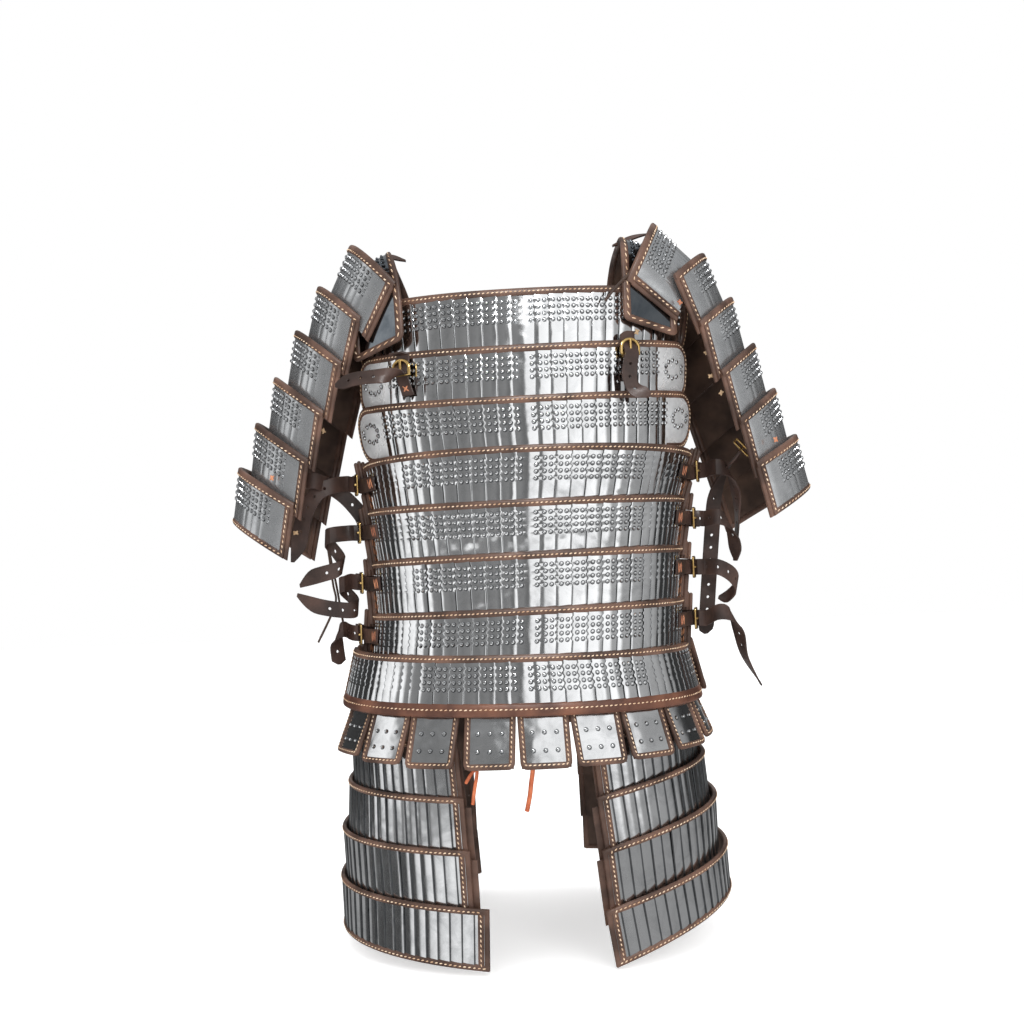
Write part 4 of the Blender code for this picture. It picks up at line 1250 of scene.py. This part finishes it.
make_strap("arm_strap_left", [(-275, -46, -290, 0.1, 0, 1), (-262, -46, -291, 0.1, 0, 1),
                              (-244, -22, -300, 0.3, 0, 1), (-228, -14, -314, 0.5, 0, 1),
                              (-212, -10, -334, 0.8, 0, 0.7), (-206, -8, -350, 1, 0, 0.4)],
           STRAP_WIDTH, (10, 0), None, 2, 18)
make_strap("arm_strap_right", [(280, -48, -262, 0.6, 0, 1), (268, -40, -278, 0.7, 0, 1),
                               (254, -16, -298, 1, 0, 0.8), (244, -2, -326, 1, 0, 0.3),
                               (240, 2, -362, 1, 0, 0.1), (235, 4, -412, 1, 0, 0.1),
                               (230, 4, -462, 1, 0, 0.1), (226, 4, -505, 1, 0, 0.1)],
           STRAP_WIDTH, (8, 0), None, 11, 16)
arm_frame = flat_band((272, -51, -271), (0.27, -0.93, 0.25), (-0.67, 0, 0.74))
make_frame("frame_arm_right", arm_frame, edge_line(-5, 5, -13, 13, 2.5, 0.01), [(-5, 0), (5, 0)])

# ---- Floor, light and surroundings
# A pale floor and a soft studio: a bright wall of light to the front right, a narrower one to the
# left, a soft top light, and dark corners that the steel turns towards at its sides.

floor_form = bmesh.new()
bmesh.ops.create_grid(floor_form, x_segments=1, y_segments=1, size=6)
floor_mesh = bpy.data.meshes.new("floor")
floor_form.to_mesh(floor_mesh)
floor_form.free()
floor = bpy.data.objects.new("floor", floor_mesh)
floor.location.z = cad_box[0][2] - 0.002
bpy.context.scene.collection.objects.link(floor)
floor.visible_glossy = False
pale = bpy.data.materials.new("pale_floor")
pale.use_nodes = True
feed(pale.node_tree.nodes["Principled BSDF"], {
    "Base Color": (0.9, 0.9, 0.9, 1), "Roughness": 0.9, "Specular IOR Level": 0.1,
    "Emission Color": (1, 1, 1, 1), "Emission Strength": 0.45})
floor_mesh.materials.append(pale)


def make_studio():
    """The surroundings, by compass direction and height."""
    world = bpy.data.worlds.new("studio")
    bpy.context.scene.world = world
    world.use_nodes = True
    tree = world.node_tree
    x, y, z = add_node(tree, "SeparateXYZ", {0: add_node(tree, "TexCoord", {}).outputs["Generated"]}).outputs
    compass = add_math(tree, "ARCTAN2", x, add_math(tree, "MULTIPLY", y, -1))
    share = add_range(tree, compass, -math.pi, math.pi)

    def add_ramp(stops):
        ramp = add_node(tree, "ValToRGB", {0: share})
        for angle, value in stops:
            ramp.color_ramp.elements.new((angle + 180) / 360).color = (value, value, value, 1)
        for end in (0, -1):
            ramp.color_ramp.elements[end].color = (0.5, 0.5, 0.5, 1)
        return ramp.outputs[0]

    wall = add_ramp([(-165, 0.5), (-152, 0.06), (-98, 0.03), (-94, 0.9), (-72, 1.1), (-64, 0.26),
                     (-38, 0.2), (-14, 0.24), (-4, 0.16), (1, 0.16), (4, 1.0), (46, 1.2), (56, 0.42),
                     (84, 0.4), (98, 0.3), (103, 0.03), (152, 0.06), (165, 0.5)])
    low_wall = add_ramp([(-150, 0.3), (-106, 0.42), (-100, 0.1), (-62, 0.07), (-54, 0.9), (-28, 1.1),
                         (0, 0.9), (12, 0.36), (100, 0.34), (120, 0.26), (150, 0.4)])
    walls = add_mix(tree, add_range(tree, z, -0.188, -0.2), wall, low_wall)
    top = add_range(tree, z, 0.38, 0.6, interpolation_type="SMOOTHSTEP")
    around = feed(tree.nodes["Background"], {"Color": add_mix(tree, top, walls, (0.42, 0.43, 0.44, 1))})
    white = add_node(tree, "Background", {"Color": (1, 1, 1, 1)})
    glossy = add_node(tree, "LightPath", {}).outputs["Is Glossy Ray"]
    seen = add_node(tree, "MixShader", {0: glossy, 1: white.outputs[0], 2: around.outputs[0]})
    feed(tree.nodes["World Output"], {"Surface": seen.outputs[0]})


make_studio()


def add_softbox(name, place, aim, size, power):
    light = bpy.data.lights.new(name, "AREA")
    light.shape = "RECTANGLE"
    light.size, light.size_y = size
    light.energy = power
    lamp = bpy.data.objects.new(name, light)
    lamp.location = place
    lamp.rotation_euler = (Vector(aim) - Vector(place)).to_track_quat("-Z", "Y").to_euler()
    lamp.visible_glossy = False
    bpy.context.scene.collection.objects.link(lamp)
    return lamp


add_softbox("key_light", (1.1, -2.2, 0.9), (0, 0, -0.4), (1.2, 1.2), 14)
add_softbox("top_light", (0, -0.2, 1.6), (0, 0, -0.4), (2.0, 1.6), 18)
add_softbox("floor_fill", (-1.6, -1.6, 0.4), (0, 0, -0.4), (0.8, 1.6), 5)
sparkle = add_softbox("dot_sparkle", (0.1, -1.6, 0.7), (0, 0, -0.4), (0.16, 0.16), 22)
sparkle.visible_glossy, sparkle.visible_diffuse = True, False
bpy.context.scene.view_settings.view_transform = "Standard"
